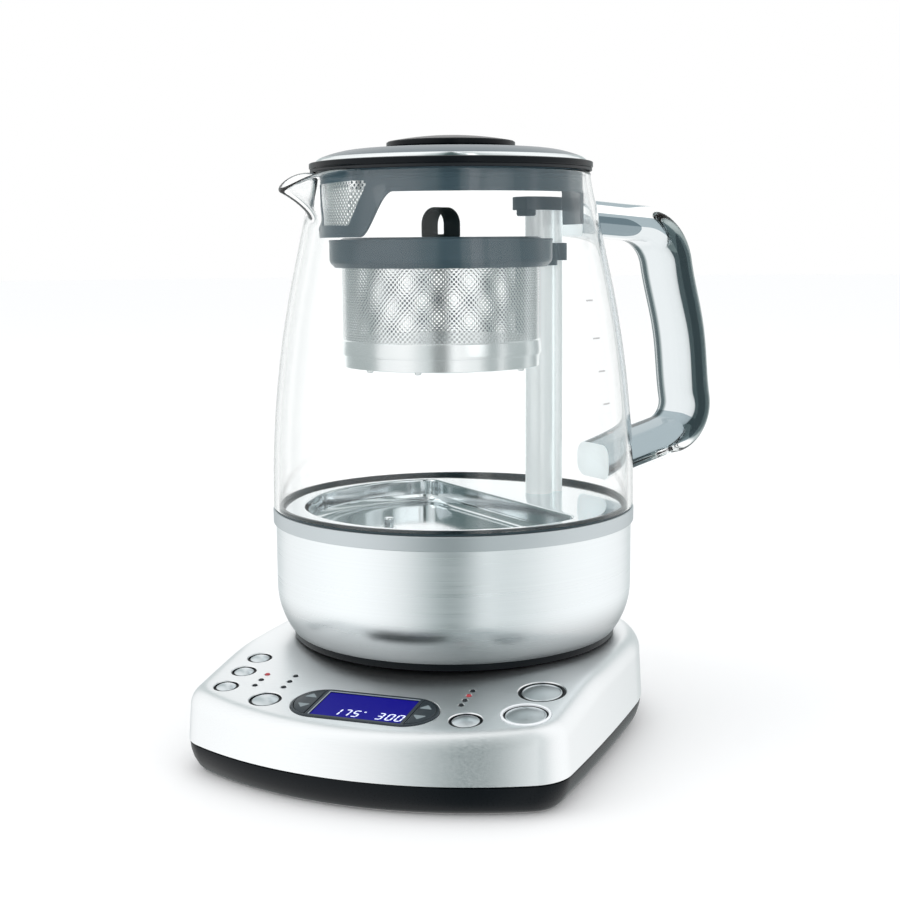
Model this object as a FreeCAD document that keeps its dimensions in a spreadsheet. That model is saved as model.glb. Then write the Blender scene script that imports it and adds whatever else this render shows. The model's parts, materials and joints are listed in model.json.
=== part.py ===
import FreeCAD, Part
import math
import os
import re

import Sketcher

# Automatic tea maker: a glass jug with a steel cup under it, a lid, a tea basket that a motor
# lowers along a post inside the jug, and a power base with buttons and a display.
# Frame: millimetres, +Z up, origin on the jug's axis at the level of the table, the controls
# towards -Y. "Along" runs from the jug's axis towards the handle, "across" at right angles to it.

Vector = FreeCAD.Vector
doc = FreeCAD.newDocument("TeaMaker")

SIZES = {
    # clearances between pieces: drawn in contact, fitted into, and seated next to each other
    "touch_gap": 0.05,
    "fit_gap": 0.1,
    "seat_gap": 0.3,
    # how far a cutting solid runs past what it cuts
    "over": 1.0,
    # directions, degrees from +X
    "handle_angle": 50.0,
    "spout_angle": 230.0,
    # power base, plan outline
    "base_half_width": 86.6,
    "base_front": 131.2,
    "base_front_radius": 157.0,
    "base_side_radius": 1400.0,
    "base_corner_radius": 19.0,
    # power base, heights
    "deck_z": 41.5,
    "cover_bottom_z": 13.4,
    "cover_wall": 1.2,
    "cover_roll": 8.0,
    "foot_top_inset": 0.7,
    "foot_bottom_inset": 6.0,
    "foot_floor": 2.0,
    "foot_wall": 2.6,
    "foot_rim": 4.0,
    "foot_split_gap": 0.2,
    "pad_radius": 8.0,
    "pad_recess": 1.2,
    "pad_x": 60.0,
    "pad_back_y": 38.0,
    "pad_front_y": -98.0,
    "gland_radius": 4.4,
    "gland_flange": 1.5,
    "gland_z": 9.0,
    "gland_wall": 1.6,
    "gland_length": 6.6,
    "gland_web": 1.5,
    "gland_proud": 1.0,
    # sloping control panel
    "panel_y": -62.0,
    "panel_z": 40.5,
    "panel_tilt": 7.0,
    "panel_blend": 160.0,
    # what stands in the base
    "boss_x": 52.0,
    "boss_back_y": 34.0,
    "boss_front_y": -34.0,
    "boss_radius": 4.5,
    "boss_split_z": 22.0,
    "screw_radius": 1.5,
    "thread_gap": 0.03,
    "screw_head_radius": 3.0,
    "screw_head": 2.5,
    "screw_depth": 8.0,
    "screw_length": 22.0,
    "frame_radius": 70.0,
    "frame_plate": 3.0,
    "frame_front": 44.0,
    "connector_neck": 16.8,
    "connector_flange": 5.0,
    "connector_plate": 3.0,
    "connector_tower": 11.0,
    "connector_wall": 2.5,
    "connector_pin": 3.0,
    "connector_pin_z": 49.0,
    "connector_shoulder_z": 42.8,
    "connector_top_z": 50.0,
    "deck_ring_radius": 34.0,
    "deck_ring_width": 14.0,
    "deck_ring_height": 1.5,
    "board_depth": 10.0,
    "board_thick": 1.6,
    "board_half_width": 73.0,
    "board_back_v": -2.0,
    "board_front_v": -56.0,
    "board_corner": 16.0,
    "board_post_x": 30.0,
    "board_post_back_v": -12.0,
    "board_post_front_v": -52.0,
    "power_board_left": -20.0,
    "power_board_clear": 7.4,
    "power_board_rest": 6.0,
    "power_board_width": 60.0,
    "power_board_length": 26.0,
    "power_board_z": 10.0,
    "relay_left": 10.0,
    "relay_length": 15.0,
    "relay_width": 16.0,
    "relay_height": 16.0,
    "supply_left": 34.0,
    "supply_width": 18.0,
    "supply_height": 11.2,
    # display and its rockers, in the panel's own frame (x, v up the slope, w out of it)
    "pill_half_width": 31.5,
    "pill_radius": 13.2,
    "pill_v": -45.3,
    "pill_proud": 0.4,
    "pill_flange": 1.6,
    "window_half_width": 20.8,
    "window_bar": 0.4,
    "bezel_rim": 1.0,
    "bezel_flange": 2.2,
    "rocker_gap": 0.35,
    "rocker_proud": 0.7,
    "rocker_depth": 4.0,
    "rocker_plate": 1.6,
    "rocker_web_half": 2.4,
    "rocker_switch_half": 2.2,
    "rocker_switch_width": 4.0,
    "rocker_switch_offset": 4.5,
    "rocker_rest_gap": 0.25,
    "lcd_half_width": 19.8,
    "lcd_half_length": 11.4,
    # buttons
    "large_radius": 8.6,
    "medium_radius": 6.3,
    "small_radius": 4.9,
    "button_gap": 0.45,
    "button_crown": 1.5,
    "button_proud": 0.9,
    "button_lip": 1.2,
    "button_flange": 1.1,
    "button_stem": 2.0,
    "button_travel": 1.0,
    "switch_gap": 0.2,
    "switch_half": 3.0,
    "switch_height": 3.6,
    "plunger_radius": 1.6,
    "plunger_height": 1.0,
    "large_x": 65.0,
    "hot_water_v": -13.7,
    "tea_v": -36.3,
    "small_x": 66.0,
    "auto_start_v": -7.1,
    "keep_warm_v": -22.2,
    "basket_v": -38.5,
    "medium_gap": 5.8,
    "medium_v": -46.8,
    "ring_width": 1.1,
    "ring_proud": 0.5,
    # indicator lamps
    "lamp_radius": 1.3,
    "lamp_proud": 0.3,
    "lamp_left_x": -54.2,
    "lamp_inner_x": -42.4,
    "lamp_left_v": -23.3,
    "lamp_left_pitch": 5.9,
    "lamp_right_x": 37.2,
    "lamp_right_v": -19.6,
    "lamp_right_pitch": 4.75,
    # jug: glass
    "glass_radius": 82.4,
    "glass_bottom_z": 102.0,
    "glass_curve_z": 104.0,
    "glass_shoulder_radius": 72.8,
    "glass_shoulder_z": 200.0,
    "glass_side_curve": 484.0,
    "glass_neck_radius": 63.2,
    "glass_neck_z": 244.0,
    "glass_rim_radius": 62.5,
    "glass_rim_z": 250.4,
    "glass_neck_curve": 40.0,
    "glass_wall": 2.4,
    "spout_root": 58.0,
    "spout_tip": 84.0,
    "spout_root_half": 18.0,
    "spout_root_z": 241.0,
    "spout_tip_half": 5.0,
    "spout_tip_z": 244.6,
    "spout_lip_z": 243.5,
    "spout_slope_start": 70.0,
    "handle_thick": 16.5,
    "handle_width": 28.0,
    "handle_round": 6.0,
    "handle_top_z": 231.5,
    "handle_bottom_z": 111.2,
    "handle_top_centre": 98.8,
    "handle_top_centre_z": 205.0,
    "handle_top_bend": 23.4,
    "handle_low_centre": 118.3,
    "handle_low_centre_z": 139.5,
    "handle_low_bend": 16.2,
    "handle_root": 60.0,
    "handle_low_root": 70.0,
    # jug: cup and floor
    "band_radius": 82.6,
    "band_bottom_z": 94.5,
    "band_top_z": 101.0,
    "band_inner": 76.0,
    "band_lip": 3.5,
    "seal_inset": 0.4,
    "seal_width": 4.0,
    "cup_radius": 81.4,
    "cup_low_radius": 73.8,
    "cup_round": 33.0,
    "cup_round_z": 66.0,
    "cup_bottom_z": 44.0,
    "cup_wall": 0.9,
    "cup_lip": 4.0,
    "bottom_z": 41.8,
    "bottom_radius": 73.0,
    "bottom_wall": 1.7,
    "bottom_upstand": 3.0,
    "socket_radius": 16.2,
    "socket_running": 0.05,
    "socket_top_z": 52.0,
    "socket_cap": 2.0,
    "socket_flange": 2.6,
    "socket_tube": 2.6,
    "upstand_wall": 2.0,
    "socket_bore_gap": 0.4,
    "floor_radius": 77.5,
    "floor_top_z": 101.4,
    "floor_sheet": 1.2,
    "well_radius": 68.0,
    "well_z": 90.0,
    "well_edge": 25.0,
    "element_radius": 42.0,
    "element_tube": 3.6,
    "element_sweep": 320.0,
    "sensor_radius": 2.2,
    "sensor_along": -29.0,
    "sensor_across": 9.0,
    "sensor_top_z": 95.5,
    "sensor_flange": 2.0,
    "sensor_nut": 2.0,
    "sensor_tail": 6.0,
    "sensor_round": 1.0,
    # jug: basket lift
    "post_along": 47.5,
    "post_radius": 6.5,
    "post_wall": 1.2,
    "post_top_z": 236.5,
    "rear_tube_radius": 3.3,
    "rear_tube_wall": 0.9,
    "post_cap_height": 3.8,
    "post_cap_wall": 0.8,
    "post_cap_grip": 2.0,
    "lead_radius": 3.0,
    "lead_bottom_z": 69.5,
    "lead_top_z": 229.0,
    "lead_chamfer": 1.0,
    "running": 0.06,
    "bearing_height": 3.8,
    "bearing_radius": 5.0,
    "gear_module": 1.0,
    "gear_teeth": 24,
    "pinion_teeth": 12,
    "gear_face": 4.0,
    "gear_bottom_z": 73.8,
    "mesh_gap": 0.25,
    "gear_dedendum": 1.15,
    "gear_addendum": 0.9,
    "tooth_root": 0.6,
    "tooth_foot_half": 0.9,
    "tooth_tip_half": 0.336,
    "gear_seat_gap": 0.3,
    "shaft_end": 0.8,
    "shaft_in_motor": 10.0,
    "bracket_plate": 2.0,
    "bracket_inner": 14.0,
    "bracket_outer": 62.0,
    "bracket_half": 25.0,
    "standoff_along": 56.0,
    "standoff_across": 21.0,
    "standoff_radius": 3.0,
    "motor_radius": 11.5,
    "motor_height": 19.0,
    "motor_shaft": 1.5,
    "carriage_length": 14.0,
    "carriage_gap": 0.15,
    "shaft_seal_radius": 5.0,
    "shaft_seal_height": 2.4,
    # lid
    "lid_seat_gap": 0.25,
    "gasket_height": 1.4,
    "gasket_width": 3.4,
    "gasket_radius": 63.0,
    "lid_radius": 63.4,
    "lid_plate": 2.0,
    "lid_rim_height": 2.95,
    "lid_rim_step": 1.2,
    "lid_rim_width": 3.0,
    "dome_radius": 62.0,
    "dome_inner": 45.0,
    "dome_rise": 6.0,
    "dome_crown": 0.5,
    "dome_curve": 75.0,
    "dome_wall": 0.8,
    "knob_radius": 28.8,
    "knob_chamfer": 1.0,
    "knob_stem": 12.0,
    "knob_clear": 1.0,
    "knob_side": 1.8,
    "knob_crown": 2.7,
    "stem_gap": 0.2,
    "lid_screw_ring": 7.0,
    "lid_screw_length": 8.0,
    "lid_screw_head": 1.6,
    "skirt_radius": 59.3,
    "skirt_wall": 1.5,
    "skirt_bottom_z": 240.7,
    "filter_half_angle": 32.0,
    "filter_bottom_z": 222.0,
    "filter_window_angle": 25.0,
    "filter_window_bottom_z": 227.0,
    "filter_window_top_z": 246.5,
    "filter_mesh_wall": 0.5,
    "filter_seam": 0.2,
    "baffle_start": 12.0,
    "baffle_sweep": 33.0,
    "baffle_bottom_z": 227.5,
    # tea basket
    "basket_along": -5.5,
    "basket_radius": 44.5,
    "mesh_wall": 0.5,
    "basket_bottom_z": 164.5,
    "collar_radius": 50.0,
    "collar_bottom_z": 208.8,
    "collar_top_z": 220.1,
    "collar_inner": 46.0,
    "collar_seat": 2.0,
    "collar_chamfer": 1.8,
    "collar_edge": 1.0,
    "hoop_bottom_z": 170.0,
    "hoop_top_z": 177.0,
    "hoop_wall": 0.8,
    "tray_radius": 43.6,
    "tray_wall": 1.0,
    "tray_lip": 5.0,
    "tray_round": 2.5,
    "yoke_wall": 1.9,
    "yoke_web_half": 5.2,
    "yoke_rear_step": 2.3,
    "yoke_half": 10.0,
    "yoke_gap": 0.4,
    "rib_outer": 40.6,
    "rib_half": 7.0,
    "rib_bottom_z": 177.5,
    "rib_depth": 1.6,
    "yoke_step": 1.0,
    "magnet_half": 4.0,
    "magnet_thick": 1.6,
    "magnet_height": 8.0,
    "magnet_depth": 1.0,
    "basket_lid_height": 4.6,
    "basket_lid_proud": 1.85,
    "basket_lid_plug": 45.6,
    "loop_angle": -24.7,
    "loop_half_width": 7.7,
    "loop_height": 13.3,
    "loop_bar": 1.3,
    "loop_depth": 9.9,
}

sheet = doc.addObject("Spreadsheet::Sheet", "Sizes")
for row, (alias, size) in enumerate(SIZES.items(), start=1):
    sheet.set("A%d" % row, alias)
    sheet.set("B%d" % row, str(size))
    sheet.setAlias("B%d" % row, alias)
doc.recompute()


# ---------------------------------------------------------------- sizes and expressions

def bound(text):
    """The expression with every size's name turned into a cell of the sheet."""
    return re.sub(r"[A-Za-z_][A-Za-z_0-9]*",
                  lambda word: "Sizes." + word.group() if word.group() in SIZES else word.group(),
                  str(text))


def value(text):
    """The number that an expression has now."""
    number = sheet.evalExpression(bound(text))
    return float(getattr(number, "Value", number))


def bind(obj, prop, text):
    obj.setExpression(prop, bound(text))


def put(obj, x="0", y="0", z="0", turn=None, axis=(0, 0, 1)):
    """Places an object at (x, y, z), turned by an angle about an axis through that point."""
    if turn is not None:
        obj.Placement = FreeCAD.Placement(Vector(0, 0, 0), FreeCAD.Rotation(Vector(*axis), value(turn)))
        bind(obj, "Placement.Rotation.Angle", turn)
    for prop, text in (("x", x), ("y", y), ("z", z)):
        bind(obj, "Placement.Base." + prop, text)
    return obj


def on_handle_line(along, across="0"):
    """Plan position of a point given along and across the handle's direction."""
    return ("(%s) * cos(handle_angle) - (%s) * sin(handle_angle)" % (along, across),
            "(%s) * sin(handle_angle) + (%s) * cos(handle_angle)" % (along, across))


def on_panel(obj):
    """Stands an object that was made in the panel's own frame on the sloping panel."""
    return put(obj, "0", "panel_y", "panel_z", "panel_tilt", (1, 0, 0))


# ---------------------------------------------------------------- solids

def cylinder(name, radius, z, height, x="0", y="0", sweep=None):
    obj = doc.addObject("Part::Cylinder", name)
    bind(obj, "Radius", radius)
    bind(obj, "Height", height)
    if sweep is not None:
        bind(obj, "Angle", sweep)
    return put(obj, x, y, z)


def block(name, x, y, z, length, width, height):
    """A box from its low corner."""
    obj = doc.addObject("Part::Box", name)
    bind(obj, "Length", length)
    bind(obj, "Width", width)
    bind(obj, "Height", height)
    return put(obj, x, y, z)


def line_block(name, along, half_width, z, length, height, across="0"):
    """A box that starts at a distance along the handle line and is centred across it."""
    obj = doc.addObject("Part::Box", name)
    bind(obj, "Length", length)
    bind(obj, "Width", "2 * (%s)" % half_width)
    bind(obj, "Height", height)
    x, y = on_handle_line(along, "(%s) - (%s)" % (across, half_width))
    return put(obj, x, y, z, "handle_angle")


def fused(name, parts):
    obj = doc.addObject("Part::MultiFuse", name)
    obj.Shapes = parts
    return obj


def cut(name, base, *tools):
    obj = doc.addObject("Part::Cut", name)
    obj.Base = base
    obj.Tool = tools[0] if len(tools) == 1 else fused(name + "_tools", list(tools))
    return obj


def common(name, first, second):
    obj = doc.addObject("Part::Common", name)
    obj.Base = first
    obj.Tool = second
    return obj


def group(name, parts):
    """Separate solids that make one node."""
    obj = doc.addObject("Part::Compound", name)
    obj.Links = parts
    return obj


# ---------------------------------------------------------------- sketches

def pin_point(sketch, geo, pos, x, y):
    """Holds a sketch point at two expressions; a zero lies on the sketch's own axis."""
    for kind, text, axis in (("DistanceX", x, -2), ("DistanceY", y, -1)):
        if str(text) == "0":
            sketch.addConstraint(Sketcher.Constraint("PointOnObject", geo, pos, axis))
        else:
            index = sketch.addConstraint(Sketcher.Constraint(kind, geo, pos, value(text)))
            sketch.setExpression("Constraints[%d]" % index, bound(text))


def pin_radius(sketch, geo, text):
    index = sketch.addConstraint(Sketcher.Constraint("Radius", geo, value(text)))
    sketch.setExpression("Constraints[%d]" % index, bound(text))


def arc_between(start, end, radius):
    """The short arc from start to end. A positive radius has its centre to the left of travel."""
    chord = end - start
    middle = (start + end) * 0.5
    rise = math.sqrt(max(radius * radius - chord.Length ** 2 / 4.0, 0.0))
    left = Vector(-chord.y, chord.x, 0).normalize()
    side = 1.0 if radius > 0 else -1.0
    centre = middle + left * rise * side
    first, last = (start, end) if radius > 0 else (end, start)
    angles = [math.atan2(p.y - centre.y, p.x - centre.x) for p in (first, last)]
    if angles[1] < angles[0]:
        angles[1] += 2 * math.pi
    return Part.ArcOfCircle(Part.Circle(centre, Vector(0, 0, 1), abs(radius)), *angles)


def closed_outline(sketch, corners, arcs=None):
    """Draws a closed outline through corners held by expressions. arcs gives some of its sides,
    counted from 0, a signed radius as an expression."""
    arcs = arcs or {}
    points = [Vector(value(x), value(y), 0) for x, y in corners]
    ends = []
    for side, start in enumerate(points):
        end = points[(side + 1) % len(points)]
        if side in arcs:
            radius = value(arcs[side])
            geo = sketch.addGeometry(arc_between(start, end, radius), False)
            ends.append((geo, 1, 2) if radius > 0 else (geo, 2, 1))
        else:
            geo = sketch.addGeometry(Part.LineSegment(start, end), False)
            ends.append((geo, 1, 2))
    for side, (geo, _, last) in enumerate(ends):
        following = ends[(side + 1) % len(ends)]
        sketch.addConstraint(Sketcher.Constraint("Coincident", geo, last, following[0], following[1]))
    for side, (x, y) in enumerate(corners):
        pin_point(sketch, ends[side][0], ends[side][1], x, y)
    for side, text in arcs.items():
        pin_radius(sketch, ends[side][0], "abs(%s)" % text)


def new_body(name):
    return doc.addObject("PartDesign::Body", name)


def body_sketch(body, role, offset=None):
    """A sketch on one of the body's own origin planes, moved out along the plane's normal."""
    sketch = body.newObject("Sketcher::SketchObject", body.Name + "_sketch")
    plane = [p for p in body.Origin.OriginFeatures if p.Role == role][0]
    sketch.AttachmentSupport = [(plane, "")]
    sketch.MapMode = "FlatFace"
    if offset is not None:
        bind(sketch, "AttachmentOffset.Base.z", offset)
    return sketch


def turned(name, corners, arcs=None):
    """A body turned about Z from a closed outline of (radius, height) corners."""
    body = new_body(name)
    sketch = body_sketch(body, "XZ_Plane")
    closed_outline(sketch, corners, arcs)
    turn = body.newObject("PartDesign::Revolution", name + "_turn")
    turn.Profile = sketch
    turn.ReferenceAxis = (sketch, ["V_Axis"])
    turn.Angle = 360
    sketch.Visibility = False
    return body


def ring(name, inner, outer, bottom, top):
    """A plain turned ring."""
    return turned(name, [(inner, bottom), (outer, bottom), (outer, top), (inner, top)])


def padded(name, corners, arcs, bottom, height):
    """A body padded upwards from a closed plan outline."""
    body = new_body(name)
    sketch = body_sketch(body, "XY_Plane", bottom)
    closed_outline(sketch, corners, arcs)
    pad = body.newObject("PartDesign::Pad", name + "_pad")
    pad.Profile = sketch
    bind(pad, "Length", height)
    return body


# ---------------------------------------------------------------- power base

def base_outline(sketch, inset):
    """Plan of the base: a round back about the jug's axis, bowed sides, round front corners and
    a bowed front, all tangent to each other."""
    half, side_r = value("base_half_width - (%s)" % inset), value("base_side_radius - (%s)" % inset)
    front_r, corner_r = value("base_front_radius - (%s)" % inset), value("base_corner_radius - (%s)" % inset)
    side_x = half - side_r
    front_y = -value("base_front - (%s)" % inset) + front_r
    # the corner's centre is corner_r inside both the side's circle and the front's circle
    reach_side, reach_front = side_r - corner_r, front_r - corner_r
    span = math.hypot(side_x, front_y)
    foot = (reach_side ** 2 - reach_front ** 2 + span ** 2) / (2 * span)
    height = math.sqrt(reach_side ** 2 - foot ** 2)
    along = Vector(-side_x, front_y, 0) / span
    corner = Vector(side_x, 0, 0) + along * foot + Vector(along.y, -along.x, 0) * height
    to_side = (corner - Vector(side_x, 0, 0)).normalize()
    to_front = (corner - Vector(0, front_y, 0)).normalize()
    side_end = corner + to_side * corner_r
    front_end = corner + to_front * corner_r

    def mirror(point):
        return Vector(-point.x, point.y, 0)

    def arc(centre, radius, start, end):
        first = math.atan2(start.y - centre.y, start.x - centre.x)
        last = math.atan2(end.y - centre.y, end.x - centre.x)
        if last <= first:
            last += 2 * math.pi
        return Part.ArcOfCircle(Part.Circle(centre, Vector(0, 0, 1), radius), first, last)

    right, left = Vector(half, 0, 0), Vector(-half, 0, 0)
    pieces = [arc(Vector(0, 0, 0), half, right, left),
              arc(Vector(-side_x, 0, 0), side_r, left, mirror(side_end)),
              arc(mirror(corner), corner_r, mirror(side_end), mirror(front_end)),
              arc(Vector(0, front_y, 0), front_r, mirror(front_end), front_end),
              arc(corner, corner_r, front_end, side_end),
              arc(Vector(side_x, 0, 0), side_r, side_end, right)]
    for piece in pieces:
        sketch.addGeometry(piece, False)
    for geo in range(6):
        sketch.addConstraint(Sketcher.Constraint("Tangent", geo, 2, (geo + 1) % 6, 1))
    sketch.addConstraint(Sketcher.Constraint("Coincident", 0, 3, -1, 1))
    for geo in (1, 5):
        sketch.addConstraint(Sketcher.Constraint("PointOnObject", geo, 3, -1))
    sketch.addConstraint(Sketcher.Constraint("PointOnObject", 3, 3, -2))
    for geo, size in ((0, "base_half_width"), (1, "base_side_radius"), (5, "base_side_radius"),
                      (2, "base_corner_radius"), (4, "base_corner_radius"), (3, "base_front_radius")):
        pin_radius(sketch, geo, "%s - (%s)" % (size, inset))
    index = sketch.addConstraint(Sketcher.Constraint("DistanceY", 3, 3, front_y))
    sketch.setExpression("Constraints[%d]" % index, bound("base_front_radius - base_front"))


def base_loft(name, low_inset, low_z, high_inset, high_z):
    """A solid between two base outlines, one above the other."""
    body = new_body(name)
    low, high = body_sketch(body, "XY_Plane", low_z), body_sketch(body, "XY_Plane", high_z)
    base_outline(low, low_inset)
    base_outline(high, high_inset)
    loft = body.newObject("PartDesign::AdditiveLoft", name + "_loft")
    loft.Profile = low
    loft.Sections = [high]
    loft.Ruled = True
    return body


def cover_block(name, inset, bottom_z):
    """The cover's solid form, inset by a wall: deck, sloping panel and rolled upper edge."""
    body = new_body(name)
    sketch = body_sketch(body, "XY_Plane", bottom_z)
    base_outline(sketch, inset)
    pad = body.newObject("PartDesign::Pad", name + "_pad")
    pad.Profile = sketch
    bind(pad, "Length", "deck_z - (%s) - (%s)" % (inset, bottom_z))
    doc.recompute()
    # the panel's plane meets the deck's plane where both are this far back; an arc blends them
    meet = "panel_y + (deck_z - panel_z) / tan(panel_tilt) - (%s) * tan(panel_tilt / 2)" % inset
    blend = "(panel_blend * tan(panel_tilt / 2))"
    far = "(base_front + 10 * over)"
    deck = "deck_z - (%s)" % inset
    slope = body_sketch(body, "YZ_Plane")
    closed_outline(slope, [("-%s" % far, "%s - (%s + (%s)) * tan(panel_tilt)" % (deck, far, meet)),
                           ("%s - %s * cos(panel_tilt)" % (meet, blend),
                            "%s - %s * sin(panel_tilt)" % (deck, blend)),
                           ("%s + %s" % (meet, blend), deck),
                           ("-%s" % far, deck + " + over"),
                           ], {1: "-panel_blend"})
    trim = body.newObject("PartDesign::Pocket", name + "_slope")
    trim.Profile = slope
    trim.SideType = "Symmetric"
    bind(trim, "Length", "4 * base_half_width")
    doc.recompute()
    rims = []
    for number, edge in enumerate(trim.Shape.Edges, start=1):
        faces = trim.Shape.ancestorsOfType(edge, Part.Face)
        tops = [f for f in faces if f.normalAt(0, 0).z > 0.5]
        sides = [f for f in faces if abs(f.normalAt(0, 0).z) < 0.1]
        if tops and sides:
            rims.append("Edge%d" % number)
    roll = body.newObject("PartDesign::Fillet", name + "_roll")
    roll.Base = (trim, rims)
    bind(roll, "Radius", "cover_roll - (%s)" % inset)
    return body


# places of the controls: name, radius, x, v
MEDIUM_X = "(pill_half_width + medium_gap + medium_radius)"
BUTTONS = [("hot_water_button", "large_radius", "large_x", "hot_water_v"),
           ("tea_button", "large_radius", "large_x", "tea_v"),
           ("auto_start_button", "small_radius", "-small_x", "auto_start_v"),
           ("keep_warm_button", "small_radius", "-small_x", "keep_warm_v"),
           ("basket_button", "small_radius", "-small_x", "basket_v"),
           ("tea_type_button", "medium_radius", "-" + MEDIUM_X, "medium_v"),
           ("strength_button", "medium_radius", MEDIUM_X, "medium_v")]
LAMPS = [(x, "lamp_left_v - %d * lamp_left_pitch" % row)
         for x in ("lamp_left_x", "lamp_inner_x") for row in range(3)]
LAMPS += [("lamp_right_x", "lamp_right_v - %d * lamp_right_pitch" % row) for row in range(4)]


def pill(name, grow, bottom, height):
    """A pad with two straight sides and two round ends, grown by a margin, about the display."""
    body = new_body(name)
    sketch = body_sketch(body, "XY_Plane", bottom)
    end = "(pill_half_width - pill_radius)"
    radius = "(pill_radius + (%s))" % grow
    low, high = "pill_v - %s" % radius, "pill_v + %s" % radius
    left, right = "-%s" % end, end
    points = [(left, low), (right, low), (right, high), (left, high)]
    corners = [Vector(value(x), value(y), 0) for x, y in points]
    reach = value(radius)
    half_turn = math.pi / 2
    ends = [Part.Circle(Vector(value(x), value("pill_v"), 0), Vector(0, 0, 1), reach) for x in (right, left)]
    for piece in (Part.LineSegment(corners[0], corners[1]), Part.ArcOfCircle(ends[0], -half_turn, half_turn),
                  Part.LineSegment(corners[2], corners[3]),
                  Part.ArcOfCircle(ends[1], half_turn, 3 * half_turn)):
        sketch.addGeometry(piece, False)
    for geo in range(4):
        sketch.addConstraint(Sketcher.Constraint("Tangent", geo, 2, (geo + 1) % 4, 1))
    for geo, x in ((1, right), (3, left)):
        pin_point(sketch, geo, 3, x, "pill_v")
        pin_radius(sketch, geo, radius)
    pad = body.newObject("PartDesign::Pad", name + "_pad")
    pad.Profile = sketch
    bind(pad, "Length", height)
    return body


def make_cover():
    """The steel cover with its openings."""
    shell = cut("cover_shell", cover_block("cover_outside", "0", "cover_bottom_z"),
                cover_block("cover_inside", "cover_wall", "cover_bottom_z - over"))
    below, through = "-2 * cover_wall", "6 * cover_wall"
    openings = [pill("pill_opening", "button_gap", below, through)]
    for name, radius, x, v in BUTTONS:
        hole = radius + " + button_gap"
        if name == "tea_button":
            hole = radius + " + button_gap + ring_width"
        openings.append(cylinder(name + "_opening", hole, below, through, x, v))
    for number, (x, v) in enumerate(LAMPS):
        openings.append(cylinder("lamp_opening_%d" % number, "lamp_radius + fit_gap", below, through, x, v))
    controls = on_panel(fused("control_openings", openings))
    throat = cylinder("connector_opening", "connector_neck + button_gap", "deck_z - 2 * cover_wall",
                      "4 * cover_wall")
    return cut("base_cover", shell, controls, throat)


def four_places(half_width, back_y, front_y):
    """The corners of a rectangle that lies evenly about the base's middle line."""
    left = "-" + half_width
    return [(half_width, back_y), (left, back_y), (left, front_y), (half_width, front_y)]


BOSSES = four_places("boss_x", "boss_back_y", "boss_front_y")
PADS = four_places("pad_x", "pad_back_y", "pad_front_y")
BOARD_POSTS = four_places("board_post_x", "board_post_back_v", "board_post_front_v")
GLAND_Y = "base_half_width - foot_bottom_inset / 2"
POWER_BOARD_Y = ("(base_half_width - foot_bottom_inset / 2 + gland_proud - gland_length - gland_wall"
                 " - power_board_clear - power_board_length / 2)")


def cylinders_at(places, name, radius, z, height):
    """A cylinder of the same size at each place."""
    return [cylinder("%s_%d" % (name, number), radius, z, height, x, y)
            for number, (x, y) in enumerate(places)]


def make_foot():
    """The black tray under the cover, with screw bosses, board posts and the cord gland's hole."""
    rim_top = "cover_bottom_z + foot_rim"
    split = "cover_bottom_z - foot_split_gap"
    skin = base_loft("foot_skin", "foot_bottom_inset", "0", "foot_top_inset", split)
    rim = base_loft("foot_rim_block", "cover_wall + seat_gap", split, "cover_wall + seat_gap", rim_top)
    hollow = base_loft("foot_hollow", "foot_bottom_inset + foot_wall", "foot_floor",
                       "cover_wall + foot_wall", rim_top + " + over")
    tray = cut("foot_tray", fused("foot_block", [skin, rim]), hollow)
    posts = cylinders_at(BOSSES, "foot_boss", "boss_radius", "0", "boss_split_z")
    posts.append(block("power_board_rest", "power_board_left", POWER_BOARD_Y + " - power_board_rest / 2", "0",
                       "power_board_width", "power_board_rest", "power_board_z"))
    for number, (x, v) in enumerate(BOARD_POSTS):
        y = "panel_y + (%s) * cos(panel_tilt)" % v
        posts.append(cylinder("board_post_%d" % number, "boss_radius", "0",
                              "panel_z + (%s) * sin(panel_tilt)" % v, x, y))
    above_board = block("above_board_block", "-base_half_width", "board_front_v - base_half_width",
                        "-board_depth - board_thick", "2 * base_half_width", "2 * base_half_width", "deck_z")
    above_board = on_panel(group("above_board", [above_board]))
    solid = cut("foot_posts", fused("foot_post_block", posts), above_board)
    holes = cylinders_at(BOSSES, "foot_screw_hole", "screw_radius + 2 * fit_gap", "-over",
                         "boss_split_z + 2 * over")
    holes += cylinders_at(BOSSES, "foot_screw_well", "screw_head_radius + seat_gap", "-over",
                          "screw_depth + over")
    holes += cylinders_at(PADS, "pad_recess_hole", "pad_radius + fit_gap", "-over", "pad_recess + over")
    holes.append(gland_bore("gland_hole", "gland_radius + fit_gap"))
    return cut("base_foot", fused("foot_with_posts", [tray, solid]), *holes)


def gland_bore(name, radius):
    """A cylinder along Y through the rear wall of the foot."""
    obj = doc.addObject("Part::Cylinder", name)
    bind(obj, "Radius", radius)
    bind(obj, "Height", "3 * foot_wall + foot_bottom_inset")
    return put(obj, "0", GLAND_Y + " + 2 * foot_wall", "gland_z", "90", (1, 0, 0))


def make_gland():
    """The rubber gland in the rear wall, closed by a thin web while no cord is fitted."""
    bore = "gland_radius - gland_wall"
    flange = "gland_radius + gland_flange"
    inner_end = "-gland_length - gland_wall"
    stem = turned("gland_stem", [("0", "0"), ("gland_radius", "0"), ("gland_radius", "-gland_length"),
                                 (flange, "-gland_length"), (flange, inner_end), (bore, inner_end),
                                 (bore, "-gland_web"), ("0", "-gland_web")])
    return put(stem, "0", GLAND_Y + " + gland_proud", "gland_z", "-90", (1, 0, 0))


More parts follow.
